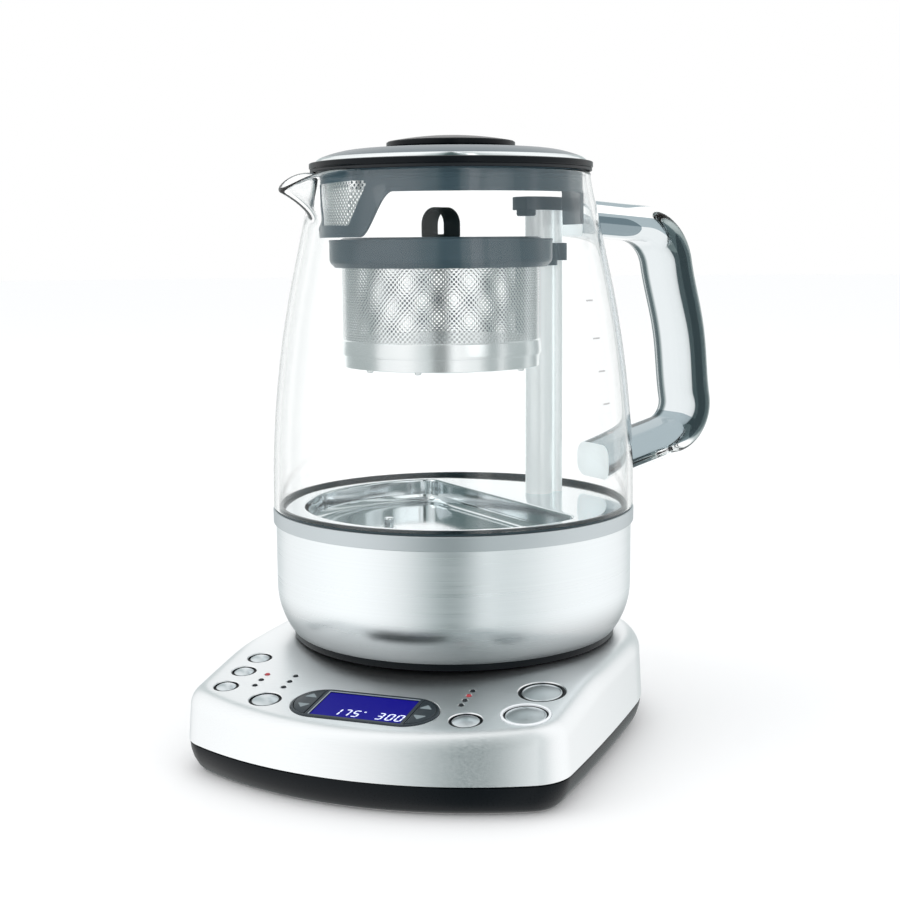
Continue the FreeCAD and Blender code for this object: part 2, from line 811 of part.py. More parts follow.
def make_frame():
    """The plastic frame under the deck that the connector and the screws hold on to."""
    plate = ring("frame_disc", "connector_neck + seat_gap", "frame_radius",
                 "deck_z - cover_wall - frame_plate", "deck_z - cover_wall")
    flat = block("frame_front", "-frame_radius", "-frame_radius", "boss_split_z",
                 "2 * frame_radius", "frame_radius - frame_front", "deck_z - boss_split_z")
    bosses = cylinders_at(BOSSES, "frame_boss", "boss_radius", "boss_split_z",
                          "deck_z - cover_wall - boss_split_z")
    holes = cylinders_at(BOSSES, "frame_screw_hole", "screw_radius + thread_gap", "boss_split_z - over",
                      "screw_depth + screw_length - boss_split_z + 2 * over")
    return cut("inner_frame", fused("frame_block", [cut("frame_plate_cut", plate, flat)] + bosses), *holes)


def screw(name, x, y):
    """A pan-head screw that points up."""
    head = cylinder(name + "_head", "screw_head_radius", "screw_depth - screw_head", "screw_head", x, y)
    shank = cylinder(name + "_shank", "screw_radius", "screw_depth - screw_head / 2",
                     "screw_length + screw_head / 2", x, y)
    return fused(name, [head, shank])


def make_base_screws():
    return group("base_screws", [screw("base_screw_%d" % n, x, y) for n, (x, y) in enumerate(BOSSES)])


def make_connector():
    """The round connector that the jug turns on: flange, neck and a tower with a centre pin."""
    under = "deck_z - cover_wall - frame_plate"
    low, flange = under + " - connector_plate", "connector_neck + connector_flange"
    return turned("base_connector", [
        ("0", low), (flange, low), (flange, under), ("connector_neck", under),
        ("connector_neck", "connector_shoulder_z"), ("connector_tower", "connector_shoulder_z"),
        ("connector_tower", "connector_top_z"), ("connector_tower - connector_wall", "connector_top_z"),
        ("connector_tower - connector_wall", "connector_shoulder_z"),
        ("connector_pin", "connector_shoulder_z"),
        ("connector_pin", "connector_pin_z"), ("0", "connector_pin_z")])


def make_power_board():
    """The mains board with its relay and its low-voltage supply."""
    top = "power_board_z + board_thick"
    board = block("power_board_sheet", "power_board_left", POWER_BOARD_Y + " - power_board_length / 2",
                  "power_board_z", "power_board_width", "power_board_length", "board_thick")
    relay = block("relay", "power_board_left + relay_left", POWER_BOARD_Y + " - relay_width / 2", top,
                  "relay_length", "relay_width", "relay_height")
    supply = block("supply", "power_board_left + supply_left", POWER_BOARD_Y + " - supply_width / 2", top,
                   "supply_width", "supply_width", "supply_height")
    return fused("power_board", [board, relay, supply])


def make_control_board():
    side, front = "board_half_width", "board_front_v"
    return on_panel(padded("control_board", [
        ("-" + side, "board_back_v"), ("-" + side, front + " + board_corner"),
        ("-%s + board_corner" % side, front), (side + " - board_corner", front),
        (side, front + " + board_corner"), (side, "board_back_v")],
        {}, "-board_depth - board_thick", "board_thick"))


def make_lcd():
    case = block("lcd_case", "-lcd_half_width", "pill_v - lcd_half_length", "-board_depth",
                 "2 * lcd_half_width", "2 * lcd_half_length", "board_depth - cover_wall - pill_flange")
    return on_panel(group("lcd_module", [case]))


def rocker_space(name, side, grow, bottom, height):
    """The end of the pill beyond the window, on one side."""
    whole = pill(name + "_pill", grow, bottom, height)
    start = "(window_half_width + window_bar)"
    low = start if side > 0 else "-%s - pill_half_width" % start
    side_block = block(name + "_end", low, "pill_v - 2 * pill_radius", "(%s) - over" % bottom,
                       "pill_half_width", "4 * pill_radius", "(%s) + 2 * over" % height)
    return common(name, whole, side_block)


def make_window():
    """The display's bezel: a pill-shaped pane with an under-cover flange and a pocket at each end
    for a rocker, carried on two side walls down to the board."""
    pane = pill("pane", "0", "-cover_wall - pill_flange", "cover_wall + pill_flange + pill_proud")
    flange = pill("pane_flange", "bezel_flange", "-cover_wall - pill_flange", "pill_flange - touch_gap")
    pockets = [rocker_space("pocket_%d" % n, side, "-bezel_rim", "-board_depth", "3 * board_depth")
               for n, side in enumerate((1, -1))]
    return on_panel(cut("display_window", fused("pane_block", [pane, flange]), *pockets))


def make_rocker(name, side):
    """A two-way rocker key in the end of the pill, with its pivot bar under it."""
    key = rocker_space(name + "_key", side, "-bezel_rim - rocker_gap", "-rocker_depth",
                       "rocker_depth + rocker_proud")
    start = "window_half_width + window_bar + rocker_gap"
    trim = block(name + "_trim", start if side > 0 else "-(%s) - pill_half_width" % start,
                 "pill_v - 2 * pill_radius", "-2 * board_depth", "pill_half_width", "4 * pill_radius",
                 "4 * board_depth")
    web_sides = ("pill_v - rocker_web_half - 2 * pill_radius", "pill_v + rocker_web_half")
    relief = [block("%s_relief_%d" % (name, n), "-2 * pill_half_width", low, "-2 * rocker_depth",
                    "4 * pill_half_width", "2 * pill_radius", "2 * rocker_depth - rocker_plate")
              for n, low in enumerate(web_sides)]
    return on_panel(cut(name, common(name + "_form", key, trim), *relief))


def make_button(name, radius, x, v):
    """A domed cap with a retaining flange under the cover and a stem down to its switch."""
    stem_end = "-board_depth + switch_height + button_travel + switch_gap"
    flange_top = "-cover_wall - seat_gap"
    return on_panel_at(turned(name, [
        ("0", stem_end), ("button_stem", stem_end), ("button_stem", flange_top + " - button_flange"),
        (radius + " + button_lip", flange_top + " - button_flange"), (radius + " + button_lip", flange_top),
        (radius, flange_top), (radius, "button_proud - button_crown"), ("0", "button_proud")],
        {6: "(%s ^ 2 + button_crown ^ 2) / (2 * button_crown)" % radius}), x, v)


def on_panel_at(obj, x, v):
    """Stands an object on the panel at a place (x, v) of the panel's own frame."""
    return put(obj, x, "panel_y + (%s) * cos(panel_tilt)" % v, "panel_z + (%s) * sin(panel_tilt)" % v,
               "panel_tilt", (1, 0, 0))


def make_start_ring():
    """The light ring round the tea button, held by a lip under the cover."""
    inner = "large_radius + button_gap"
    outer = inner + " + ring_width - fit_gap"
    return on_panel_at(ring("start_ring", inner, outer, "-cover_wall - seat_gap", "ring_proud"),
                       "large_x", "tea_v")


def make_lamps():
    lenses = [cylinder("lamp_%d" % n, "lamp_radius", "-board_depth", "board_depth + lamp_proud", x, v)
              for n, (x, v) in enumerate(LAMPS)]
    return on_panel(group("indicator_lamps", lenses))


def make_switches():
    """One push switch under each button, its plunger up, and a two-way switch that each rocker
    pivots on."""
    switches = [block("rocker_switch_%d" % n,
                      "%s * (window_half_width + rocker_switch_offset) - rocker_switch_width / 2" % sign,
                      "pill_v - rocker_switch_half", "-board_depth", "rocker_switch_width",
                      "2 * rocker_switch_half", "board_depth - rocker_depth - rocker_rest_gap")
                for n, sign in enumerate(("1", "-1"))]
    for name, _, x, v in BUTTONS:
        case = block(name + "_switch_case", "(%s) - switch_half" % x, "(%s) - switch_half" % v,
                     "-board_depth", "2 * switch_half", "2 * switch_half", "switch_height - plunger_height")
        plunger = cylinder(name + "_plunger", "plunger_radius", "-board_depth + plunger_height",
                           "switch_height - plunger_height", x, v)
        switches.append(fused(name + "_switch", [case, plunger]))
    return on_panel(group("push_switches", switches))


# ---------------------------------------------------------------- jug

def glass_form(name, inset, bottom, above=None):
    """Solid form of the jug's glass, inset by a wall: bowed side, straight shoulder, curved neck.
    A form that cuts the mouth open goes on above the rim."""
    def radius(size):
        return "%s - (%s)" % (size, inset)
    corners = [("0", bottom), (radius("glass_radius"), bottom), (radius("glass_radius"), "glass_curve_z"),
               (radius("glass_shoulder_radius"), "glass_shoulder_z"),
               (radius("glass_neck_radius"), "glass_neck_z"), (radius("glass_rim_radius"), "glass_rim_z")]
    if above is not None:
        corners.append((radius("glass_rim_radius"), "glass_rim_z + " + above))
    corners.append(("0", corners[-1][1]))
    return turned(name, corners, {2: "glass_side_curve - (%s)" % inset,
                                  4: "-glass_neck_curve - (%s)" % inset})


def spout_form(name, inset, tip):
    """Solid form of the spout: a deep round-bottomed channel that narrows to the lip."""
    stations = [("spout_root", "spout_root_half - (%s)" % inset, "spout_root_z"),
                (tip, "spout_tip_half - (%s)" % inset, "spout_tip_z")]
    body = new_body(name)
    sketches = []
    for reach, half, z in stations:
        sketch = body_sketch(body, "YZ_Plane", reach)
        top = "glass_rim_z + 6 * over"
        closed_outline(sketch, [("-(%s)" % half, z), ("0", "%s - (%s)" % (z, half)), (half, z),
                                (half, top), ("-(%s)" % half, top)], {0: half, 1: half})
        sketches.append(sketch)
    loft = body.newObject("PartDesign::AdditiveLoft", name + "_loft")
    loft.Profile = sketches[0]
    loft.Sections = [sketches[1]]
    loft.Ruled = True
    return put(body, turn="spout_angle")


def make_glass():
    """The glass jug: wall, spout and open mouth."""
    outside = fused("glass_outside", [glass_form("glass_outer_form", "0", "glass_bottom_z"),
                                      spout_form("spout_outer_form", "0", "spout_tip")])
    inside = fused("glass_inside", [
        glass_form("glass_inner_form", "glass_wall", "glass_bottom_z - over", "over"),
        spout_form("spout_inner_form", "glass_wall", "spout_tip - glass_wall")])
    body = new_body("spout_trim")
    sketch = body_sketch(body, "XZ_Plane")
    end = "spout_tip + 2 * over"
    closed_outline(sketch, [("0", "glass_rim_z"), ("spout_slope_start", "glass_rim_z"), (end, "spout_lip_z"),
                            (end, "2 * glass_rim_z"), ("0", "2 * glass_rim_z")])
    pad = body.newObject("PartDesign::Pad", "spout_trim_pad")
    pad.Profile = sketch
    pad.SideType = "Symmetric"
    bind(pad, "Length", "4 * spout_root_half")
    put(body, turn="spout_angle")
    return cut("glass_jug", outside, inside, body)


def make_handle():
    """The glass handle: a rounded strap swept along two bends, trimmed to the jug's wall."""
    body = new_body("handle_form")
    path = body_sketch(body, "XZ_Plane")
    start = Vector(value("handle_root"), value("handle_top_z"), 0)
    end = Vector(value("handle_low_root"), value("handle_bottom_z"), 0)
    high = Vector(value("handle_top_centre"), value("handle_top_centre_z"), 0)
    low = Vector(value("handle_low_centre"), value("handle_low_centre_z"), 0)
    high_r, low_r = value("handle_top_bend"), value("handle_low_bend")

    def tangent_from(point, centre, radius, side):
        """Where the tangent from a point touches a circle; side picks which of the two."""
        gap = centre - point
        swing = side * math.acos(radius / gap.Length)
        back = (point - centre).normalize()
        return centre + Vector(back.x * math.cos(swing) - back.y * math.sin(swing),
                               back.x * math.sin(swing) + back.y * math.cos(swing), 0) * radius

    first = tangent_from(start, high, high_r, -1)
    last = tangent_from(end, low, low_r, 1)
    run = low - high
    swing = math.acos((high_r - low_r) / run.Length)
    ahead = run.normalize()
    out = Vector(ahead.x * math.cos(swing) - ahead.y * math.sin(swing),
                 ahead.x * math.sin(swing) + ahead.y * math.cos(swing), 0)
    leave, join = high + out * high_r, low + out * low_r

    def bend(centre, radius, from_point, to_point):
        """A clockwise arc, which a sketch keeps from its end point to its start point."""
        first_angle = math.atan2(to_point.y - centre.y, to_point.x - centre.x)
        last_angle = math.atan2(from_point.y - centre.y, from_point.x - centre.x)
        if last_angle < first_angle:
            last_angle += 2 * math.pi
        return Part.ArcOfCircle(Part.Circle(centre, Vector(0, 0, 1), radius), first_angle, last_angle)

    for piece in (Part.LineSegment(start, first), bend(high, high_r, first, leave),
                  Part.LineSegment(leave, join), bend(low, low_r, join, last), Part.LineSegment(last, end)):
        path.addGeometry(piece, False)
    for line, line_pos, arc, arc_pos in ((0, 2, 1, 2), (2, 1, 1, 1), (2, 2, 3, 2), (4, 1, 3, 1)):
        path.addConstraint(Sketcher.Constraint("Tangent", line, line_pos, arc, arc_pos))
    pin_point(path, 0, 1, "handle_root", "handle_top_z")
    pin_point(path, 4, 2, "handle_low_root", "handle_bottom_z")
    pin_point(path, 1, 3, "handle_top_centre", "handle_top_centre_z")
    pin_point(path, 3, 3, "handle_low_centre", "handle_low_centre_z")
    pin_radius(path, 1, "handle_top_bend")
    pin_radius(path, 3, "handle_low_bend")

    section = body_sketch(body, "YZ_Plane", "handle_root")
    side, flat = "(handle_width / 2)", "(handle_width / 2 - handle_round)"
    tall, low_flat = "(handle_thick / 2)", "(handle_thick / 2 - handle_round)"

    def corner(x_sign, x, y_sign, y):
        return ("%s%s" % (x_sign, x), "handle_top_z %s %s" % (y_sign, y))

    closed_outline(section, [corner("-", flat, "-", tall), corner("", flat, "-", tall),
                             corner("", side, "-", low_flat), corner("", side, "+", low_flat),
                             corner("", flat, "+", tall), corner("-", flat, "+", tall),
                             corner("-", side, "+", low_flat), corner("-", side, "-", low_flat)],
                   {1: "handle_round", 3: "handle_round", 5: "handle_round", 7: "handle_round"})
    sweep = body.newObject("PartDesign::AdditivePipe", "handle_sweep")
    sweep.Profile = section
    sweep.Spine = (path, ["Edge%d" % n for n in range(1, 6)])
    put(body, turn="handle_angle")
    return cut("glass_handle", body, glass_form("handle_trim", "0", "band_top_z"))


def make_cup():
    """The steel cup: an upright wall with a round lower edge and an inward lip."""
    wall = "cup_wall"
    return turned("steel_cup", [
        ("cup_low_radius - cup_lip", "cup_bottom_z"), ("cup_low_radius", "cup_bottom_z"),
        ("cup_radius", "cup_round_z"), ("cup_radius", "band_bottom_z"),
        ("cup_radius - " + wall, "band_bottom_z"), ("cup_radius - " + wall, "cup_round_z"),
        ("cup_low_radius - " + wall, "cup_bottom_z + " + wall),
        ("cup_low_radius - cup_lip", "cup_bottom_z + " + wall)],
        {1: "cup_round", 5: "cup_wall - cup_round"})


def make_band():
    """The grey ring between cup and glass, with a ledge for the jug's floor and a lip in the cup."""
    lip = "cup_radius - cup_wall - 2 * fit_gap"
    ledge = "floor_radius + 2 * fit_gap"
    return turned("band_ring", [
        ("band_inner", "band_bottom_z - band_lip"), (lip, "band_bottom_z - band_lip"),
        (lip, "band_bottom_z"), ("band_radius", "band_bottom_z"), ("band_radius", "band_top_z"),
        (ledge, "band_top_z"), (ledge, "floor_top_z - floor_sheet"),
        ("band_inner", "floor_top_z - floor_sheet")])


def make_jug_bottom():
    """The black plastic bottom: outer ring, disc over the deck ring, and the socket's tube."""
    disc_low = "deck_z + deck_ring_height + seat_gap"
    disc_top = disc_low + " + bottom_wall"
    hole = "socket_radius + socket_running"
    tube = hole + " + socket_tube"
    tube_top = "socket_top_z - socket_cap"
    recess = "deck_ring_radius + 5 * seat_gap"
    upstand, rim = "cup_low_radius - cup_lip - 2 * fit_gap", "cup_bottom_z + bottom_upstand"
    return turned("jug_bottom", [
        (hole, disc_low), (recess, disc_low), (recess, "bottom_z"),
        ("bottom_radius", "bottom_z"), ("bottom_radius", "cup_bottom_z"), (upstand, "cup_bottom_z"),
        (upstand, rim), (upstand + " - upstand_wall", rim), (upstand + " - upstand_wall", disc_top),
        (tube, disc_top), (tube, tube_top), (hole, tube_top)])


def make_socket():
    """The round socket that drops over the connector's tower."""
    bore = "connector_tower + socket_bore_gap"
    foot = "deck_z + deck_ring_height + seat_gap + fit_gap"
    under, top = "socket_top_z - socket_cap + touch_gap", "socket_top_z + touch_gap"
    flange = "socket_radius + socket_flange"
    return turned("jug_socket", [(bore, foot), ("socket_radius", foot), ("socket_radius", under),
                                 (flange, under), (flange, top), ("0", top), ("0", under), (bore, under)])


def well_form(name, radius, edge, bottom, top):
    """A round well cut off straight on the handle's side."""
    reach = "(2 * well_radius)"
    return common(name, cylinder(name + "_round", radius, bottom, "(%s) - (%s)" % (top, bottom)),
                  line_block(name + "_half", "(%s) - %s" % (edge, reach), reach, bottom, reach,
                             "(%s) - (%s)" % (top, bottom)))


def make_floor():
    """The pressed steel floor: a flange and shelf at the glass's foot and a deeper well."""
    under = "(well_z - floor_sheet)"
    deep = "floor_top_z - %s + 2 * over" % under
    shelf = cylinder("shelf", "floor_radius", "floor_top_z - floor_sheet", "floor_sheet")
    well = well_form("well_outside", "well_radius + floor_sheet", "well_edge + floor_sheet", under,
                     "floor_top_z")
    outside = fused("floor_outside", [shelf, well])
    inside = well_form("well_inside", "well_radius", "well_edge", "well_z", "floor_top_z + over")
    holes = [cylinder("floor_seal_hole", "shaft_seal_radius", under + " - over", deep,
                      *on_handle_line("post_along")),
             cylinder("floor_sensor_hole", "sensor_radius + thread_gap", under + " - over", deep,
                      *on_handle_line("sensor_along", "sensor_across"))]
    return cut("floor_plate", outside, inside, *holes)


def make_element():
    """The heating element: an open ring of sheathed tube against the underside of the well, with
    its gap towards the post."""
    obj = doc.addObject("Part::Torus", "heating_element")
    bind(obj, "Radius1", "element_radius")
    bind(obj, "Radius2", "element_tube")
    bind(obj, "Angle3", "element_sweep")
    return put(obj, "0", "0", "well_z - floor_sheet - element_tube",
               "handle_angle + (360 - element_sweep) / 2")


def make_sensor():
    """The probe that passes through the well's floor, with its nut below."""
    under = "well_z - floor_sheet"
    nut = "sensor_radius + sensor_flange"
    sensor = turned("temperature_sensor", [
        ("0", under + " - sensor_tail"), ("sensor_radius", under + " - sensor_tail"),
        ("sensor_radius", under + " - sensor_nut"), (nut, under + " - sensor_nut"), (nut, under),
        ("sensor_radius", under), ("sensor_radius", "sensor_top_z - sensor_round"),
        ("sensor_radius - sensor_round", "sensor_top_z"), ("0", "sensor_top_z")], {6: "sensor_round"})
    x, y = on_handle_line("sensor_along", "sensor_across")
    return put(sensor, x, y, "0")


REAR_ALONG = "(post_along + post_radius + rear_tube_radius - 0.3)"


def make_post():
    """The lift post: the tube that the screw turns in and a thin tube behind it."""
    height = "post_top_z - floor_top_z"
    front, rear = on_handle_line("post_along"), on_handle_line(REAR_ALONG)
    solid = fused("post_block", [cylinder("post_front", "post_radius", "floor_top_z", height, *front),
                                 cylinder("post_rear", "rear_tube_radius", "floor_top_z", height, *rear)])
    low, long = "floor_top_z - over", height + " + 2 * over"
    bores = [cylinder("post_bore", "post_radius - post_wall", low, long, *front),
             cylinder("rear_bore", "rear_tube_radius - rear_tube_wall", low, long, *rear)]
    return cut("lift_post", solid, *bores)


def make_post_cap():
    """The cap that closes both tubes."""
    forms = []
    sockets = []
    for name, along, radius in (("front", "post_along", "post_radius"),
                                ("rear", REAR_ALONG, "rear_tube_radius")):
        x, y = on_handle_line(along)
        forms.append(cylinder("cap_" + name, radius + " + post_cap_wall", "post_top_z - post_cap_grip",
                              "post_cap_height + post_cap_grip", x, y))
        sockets.append(cylinder("cap_socket_" + name, radius, "post_top_z - post_cap_grip - over",
                                "post_cap_grip + over", x, y))
    return cut("post_cap", fused("cap_block", forms), *sockets)


def make_lead_screw():
    """The screw that drives the carriage, as the plain cylinder of its thread's outside."""
    x, y = on_handle_line("post_along")
    form = turned("lead_screw", [
        ("0", "lead_bottom_z"), ("lead_radius", "lead_bottom_z"), ("lead_radius", "lead_top_z - lead_chamfer"),
        ("lead_radius - lead_chamfer", "lead_top_z"), ("0", "lead_top_z")])
    return put(form, x, y)


def gear(name, teeth, bore, along, phase):
    """A spur gear with straight-sided teeth, one tooth turned to the phase angle."""
    count = int(value(teeth))
    body = new_body(name)
    sketch = body_sketch(body, "XY_Plane", "gear_bottom_z")
    pitch = "(gear_module * %s / 2)" % teeth
    root, tip = pitch + " - gear_dedendum", pitch + " + gear_addendum"
    sketch.addGeometry(Part.Circle(Vector(0, 0, 0), Vector(0, 0, 1), value(root)), False)
    sketch.addConstraint(Sketcher.Constraint("Coincident", 0, 3, -1, 1))
    pin_radius(sketch, 0, root)
    blank = body.newObject("PartDesign::Pad", name + "_blank")
    blank.Profile = sketch
    bind(blank, "Length", "gear_face")
    tooth_sketch = body_sketch(body, "XY_Plane", "gear_bottom_z")
    rooted = root + " - tooth_root"
    closed_outline(tooth_sketch, [(rooted, "-tooth_foot_half"), (tip, "-tooth_tip_half"),
                                  (tip, "tooth_tip_half"), (rooted, "tooth_foot_half")])
    tooth = body.newObject("PartDesign::Pad", name + "_tooth")
    tooth.Profile = tooth_sketch
    bind(tooth, "Length", "gear_face")
    doc.recompute()
    pattern = body.newObject("PartDesign::PolarPattern", name + "_teeth")
    pattern.Originals = [tooth]
    pattern.Axis = (tooth_sketch, ["N_Axis"])
    pattern.Angle = 360
    bind(pattern, "Occurrences", teeth)
    body.Tip = pattern
    x, y = on_handle_line(along)
    put(body, x, y, "0", "handle_angle + (%s) * 360 / %d" % (phase, count))
    return cut(name + "_bored", body,
               cylinder(name + "_bore", bore, "gear_bottom_z - over", "gear_face + 2 * over", x, y))


PINION_ALONG = "(post_along - gear_module * (gear_teeth + pinion_teeth) / 2 - mesh_gap)"
MOTOR_TOP = "(gear_bottom_z - gear_seat_gap - bracket_plate)"


def make_pinion():
    """The motor's pinion with the shaft that it is pressed on."""
    teeth = gear("pinion_form", "pinion_teeth", "motor_shaft", PINION_ALONG, "0.5")
    x, y = on_handle_line(PINION_ALONG)
    low = MOTOR_TOP + " - shaft_in_motor"
    shaft = cylinder("pinion_shaft", "motor_shaft", low,
                     "gear_bottom_z + gear_face + shaft_end - (%s)" % low, x, y)
    return fused("motor_pinion", [teeth, shaft])


def make_motor():
    """The geared motor's case, with the bore that the pinion's shaft turns in."""
    x, y = on_handle_line(PINION_ALONG)
    case = cylinder("motor_case", "motor_radius", MOTOR_TOP + " - motor_height", "motor_height", x, y)
    bore = cylinder("motor_bore", "motor_shaft + running", MOTOR_TOP + " - shaft_in_motor - 2 * fit_gap",
                    "shaft_in_motor + 2 * fit_gap + over", x, y)
    return cut("lift_motor", case, bore)


def make_bracket():
    """The bracket that hangs the motor and the lower bearing from the jug's floor."""
    plate = line_block("bracket_plate_block", "bracket_inner", "bracket_half", MOTOR_TOP,
                       "bracket_outer - bracket_inner", "bracket_plate")
    posts = []
    for number, side in enumerate(("", "-")):
        x, y = on_handle_line("standoff_along", side + "standoff_across")
        posts.append(cylinder("standoff_%d" % number, "standoff_radius", MOTOR_TOP,
                              "floor_top_z - floor_sheet - %s" % MOTOR_TOP, x, y))
    low, through = MOTOR_TOP + " - over", "bracket_plate + 2 * over"
    shaft = cylinder("bracket_shaft_hole", "motor_shaft + 3 * seat_gap", low, through,
                     *on_handle_line(PINION_ALONG))
    seat = cylinder("bracket_bearing_hole", "bearing_radius", low, through, *on_handle_line("post_along"))
    return cut("motor_bracket", fused("bracket_block", [plate] + posts), shaft, seat)


def make_bearings():
    """Plain bearings at the screw's lower and upper ends."""
    x, y = on_handle_line("post_along")
    low_top, high_top = "gear_bottom_z - gear_seat_gap", "lead_top_z - lead_chamfer"
    lower = ring("lower_bearing", "lead_radius + running", "bearing_radius", low_top + " - bearing_height",
                 low_top)
    upper = ring("upper_bearing", "lead_radius + running", "post_radius - post_wall",
                 high_top + " - bearing_height", high_top)
    return group("screw_bearings", [put(lower, x, y), put(upper, x, y)])


def make_shaft_seal():
    """The seal that the screw turns in, set in the jug's floor under the post."""
    x, y = on_handle_line("post_along")
    return put(ring("shaft_seal", "lead_radius + running", "shaft_seal_radius",
                    "floor_top_z - shaft_seal_height", "floor_top_z"), x, y)


CARRIAGE_MIDDLE = "((collar_bottom_z + collar_top_z) / 2)"


def make_carriage():
    """The magnet carriage that the screw moves inside the post, level with the basket's yoke."""
    x, y = on_handle_line("post_along")
    low, high = CARRIAGE_MIDDLE + " - carriage_length / 2", CARRIAGE_MIDDLE + " + carriage_length / 2"
    return put(ring("magnet_carriage", "lead_radius + running", "post_radius - post_wall - carriage_gap",
                    low, high), x, y)


# ---------------------------------------------------------------- lid

GASKET_BOTTOM = "(glass_rim_z + lid_seat_gap)"
PLATE_BOTTOM = "(glass_rim_z + lid_seat_gap + gasket_height)"
PLATE_TOP = "(glass_rim_z + lid_seat_gap + gasket_height + lid_plate)"
RIM_TOP = "(glass_rim_z + lid_seat_gap + gasket_height + lid_rim_height)"
DOME_INNER_TOP = RIM_TOP[:-1] + " + dome_rise)"
DOME_TOP = RIM_TOP[:-1] + " + dome_rise + dome_crown)"
KNOB_BOTTOM = DOME_TOP[:-1] + " + knob_clear)"
KNOB_EDGE = DOME_TOP[:-1] + " + knob_clear + knob_side)"


def make_gasket():
    return ring("lid_gasket", "gasket_radius - gasket_width", "gasket_radius", GASKET_BOTTOM, PLATE_BOTTOM)


LID_SCREWS = [("lid_screw_ring * cos(%d)" % angle, "lid_screw_ring * sin(%d)" % angle)
              for angle in (30, 150, 270)]


def make_lid_rim():
    """The black rim and the plate that closes the lid from below."""
    rim = turned("lid_rim_form", [
        ("0", PLATE_BOTTOM), ("lid_radius", PLATE_BOTTOM), ("lid_radius", RIM_TOP + " - lid_rim_step"),
        ("lid_radius - lid_rim_step", RIM_TOP), ("dome_radius - lid_rim_width", RIM_TOP),
        ("dome_radius - lid_rim_width", PLATE_TOP), ("0", PLATE_TOP)], {2: "lid_rim_step"})
    holes = cylinders_at(LID_SCREWS, "lid_hole", "screw_radius + thread_gap", PLATE_BOTTOM + " - over",
                         "lid_plate + 2 * over")
    return cut("lid_rim", rim, *holes)


def make_dome():
    """The steel dome: a curved skirt up to a flat top with a hole for the knob's stem."""
    edge, hole = "dome_radius - lid_rim_step", "knob_stem + stem_gap"
    return turned("lid_dome", [
        (edge, RIM_TOP), ("dome_inner", DOME_INNER_TOP), (hole, DOME_TOP), (hole, DOME_TOP + " - dome_wall"),
        ("dome_inner - dome_wall / 3", DOME_INNER_TOP + " - dome_wall"),
        (edge + " - 2 * dome_wall", RIM_TOP)], {0: "dome_curve", 4: "-dome_curve"})


def make_knob():
    """The round knob on its stem, with holes for the lid's screws."""
    form = turned("knob_form", [
        ("0", PLATE_TOP), ("knob_stem", PLATE_TOP), ("knob_stem", KNOB_BOTTOM),
        ("knob_radius - knob_chamfer", KNOB_BOTTOM), ("knob_radius", KNOB_BOTTOM + " + knob_chamfer"),
        ("knob_radius", KNOB_EDGE), ("0", KNOB_EDGE + " + knob_crown")],
        {5: "(knob_radius ^ 2 + knob_crown ^ 2) / (2 * knob_crown)"})
    holes = cylinders_at(LID_SCREWS, "knob_hole", "screw_radius + thread_gap", PLATE_BOTTOM,
                         "lid_screw_length + fit_gap")
    return cut("lid_knob", form, *holes)


def make_lid_screws():
    """The screws that hold the knob and the dome to the plate, driven from below."""
    screws = []
    for number, (x, y) in enumerate(LID_SCREWS):
        head = cylinder("lid_screw_head_%d" % number, "screw_head_radius",
                        PLATE_BOTTOM + " - lid_screw_head", "lid_screw_head", x, y)
        shank = cylinder("lid_screw_shank_%d" % number, "screw_radius",
                         PLATE_BOTTOM + " - lid_screw_head / 2", "lid_screw_length + lid_screw_head / 2", x, y)
        screws.append(fused("lid_screw_%d" % number, [head, shank]))
    return group("lid_screws", screws)


def sector(name, inner, outer, bottom, top, start, sweep):
    """A piece of a tube between two angles."""
    height = "(%s) - (%s)" % (top, bottom)
    outside = put(cylinder(name + "_outer", outer, bottom, height, sweep=sweep), "0", "0", bottom, start)
    inside = cylinder(name + "_inner", inner, "(%s) - over" % bottom, height + " + 2 * over")
    return cut(name, outside, inside)


def make_skirt():
    """The dark skirt inside the jug's mouth, open where the filter sits, with a rear baffle."""
    inner = "skirt_radius - skirt_wall"
    start = "spout_angle + filter_half_angle"
    tube = sector("skirt_tube", inner, "skirt_radius", "skirt_bottom_z", PLATE_BOTTOM, start,
                  "360 - 2 * filter_half_angle")
    baffle = sector("skirt_baffle", inner, "skirt_radius", "baffle_bottom_z", "skirt_bottom_z + over",
                    "baffle_start", "baffle_sweep")
    return fused("lid_skirt", [tube, baffle])


def make_filter_frame():
    """The frame of the pouring filter, hung from the lid at the spout."""
    inner = "skirt_radius - skirt_wall"
    panel = sector("filter_panel", inner, "skirt_radius", "filter_bottom_z", PLATE_BOTTOM,
                   "spout_angle - filter_half_angle + filter_seam", "2 * filter_half_angle - 2 * filter_seam")
    window = sector("filter_window", inner + " - over", "skirt_radius + over", "filter_window_bottom_z",
                    "filter_window_top_z", "spout_angle - filter_window_angle", "2 * filter_window_angle")
    return cut("filter_frame", panel, window)


def make_filter_mesh():
    """The filter's mesh, as a closed sheet in the frame's window."""
    middle = "skirt_radius - skirt_wall / 2"
    return sector("filter_mesh", middle + " - filter_mesh_wall / 2", middle + " + filter_mesh_wall / 2",
                  "filter_window_bottom_z", "filter_window_top_z", "spout_angle - filter_window_angle",
                  "2 * filter_window_angle")


# ---------------------------------------------------------------- tea basket

BASKET = on_handle_line("basket_along")
MAGNET_BOTTOM = "(collar_bottom_z - magnet_depth - magnet_height)"


def post_clearance(name, bottom, height):
    """The space that the post needs on its way through the basket's collar and yoke."""
    tubes = (("_front", "post_radius", "post_along"), ("_rear", "rear_tube_radius", REAR_ALONG))
    return fused(name, [cylinder(name + end, radius + " + yoke_gap", bottom, height, *on_handle_line(along))
                        for end, radius, along in tubes])


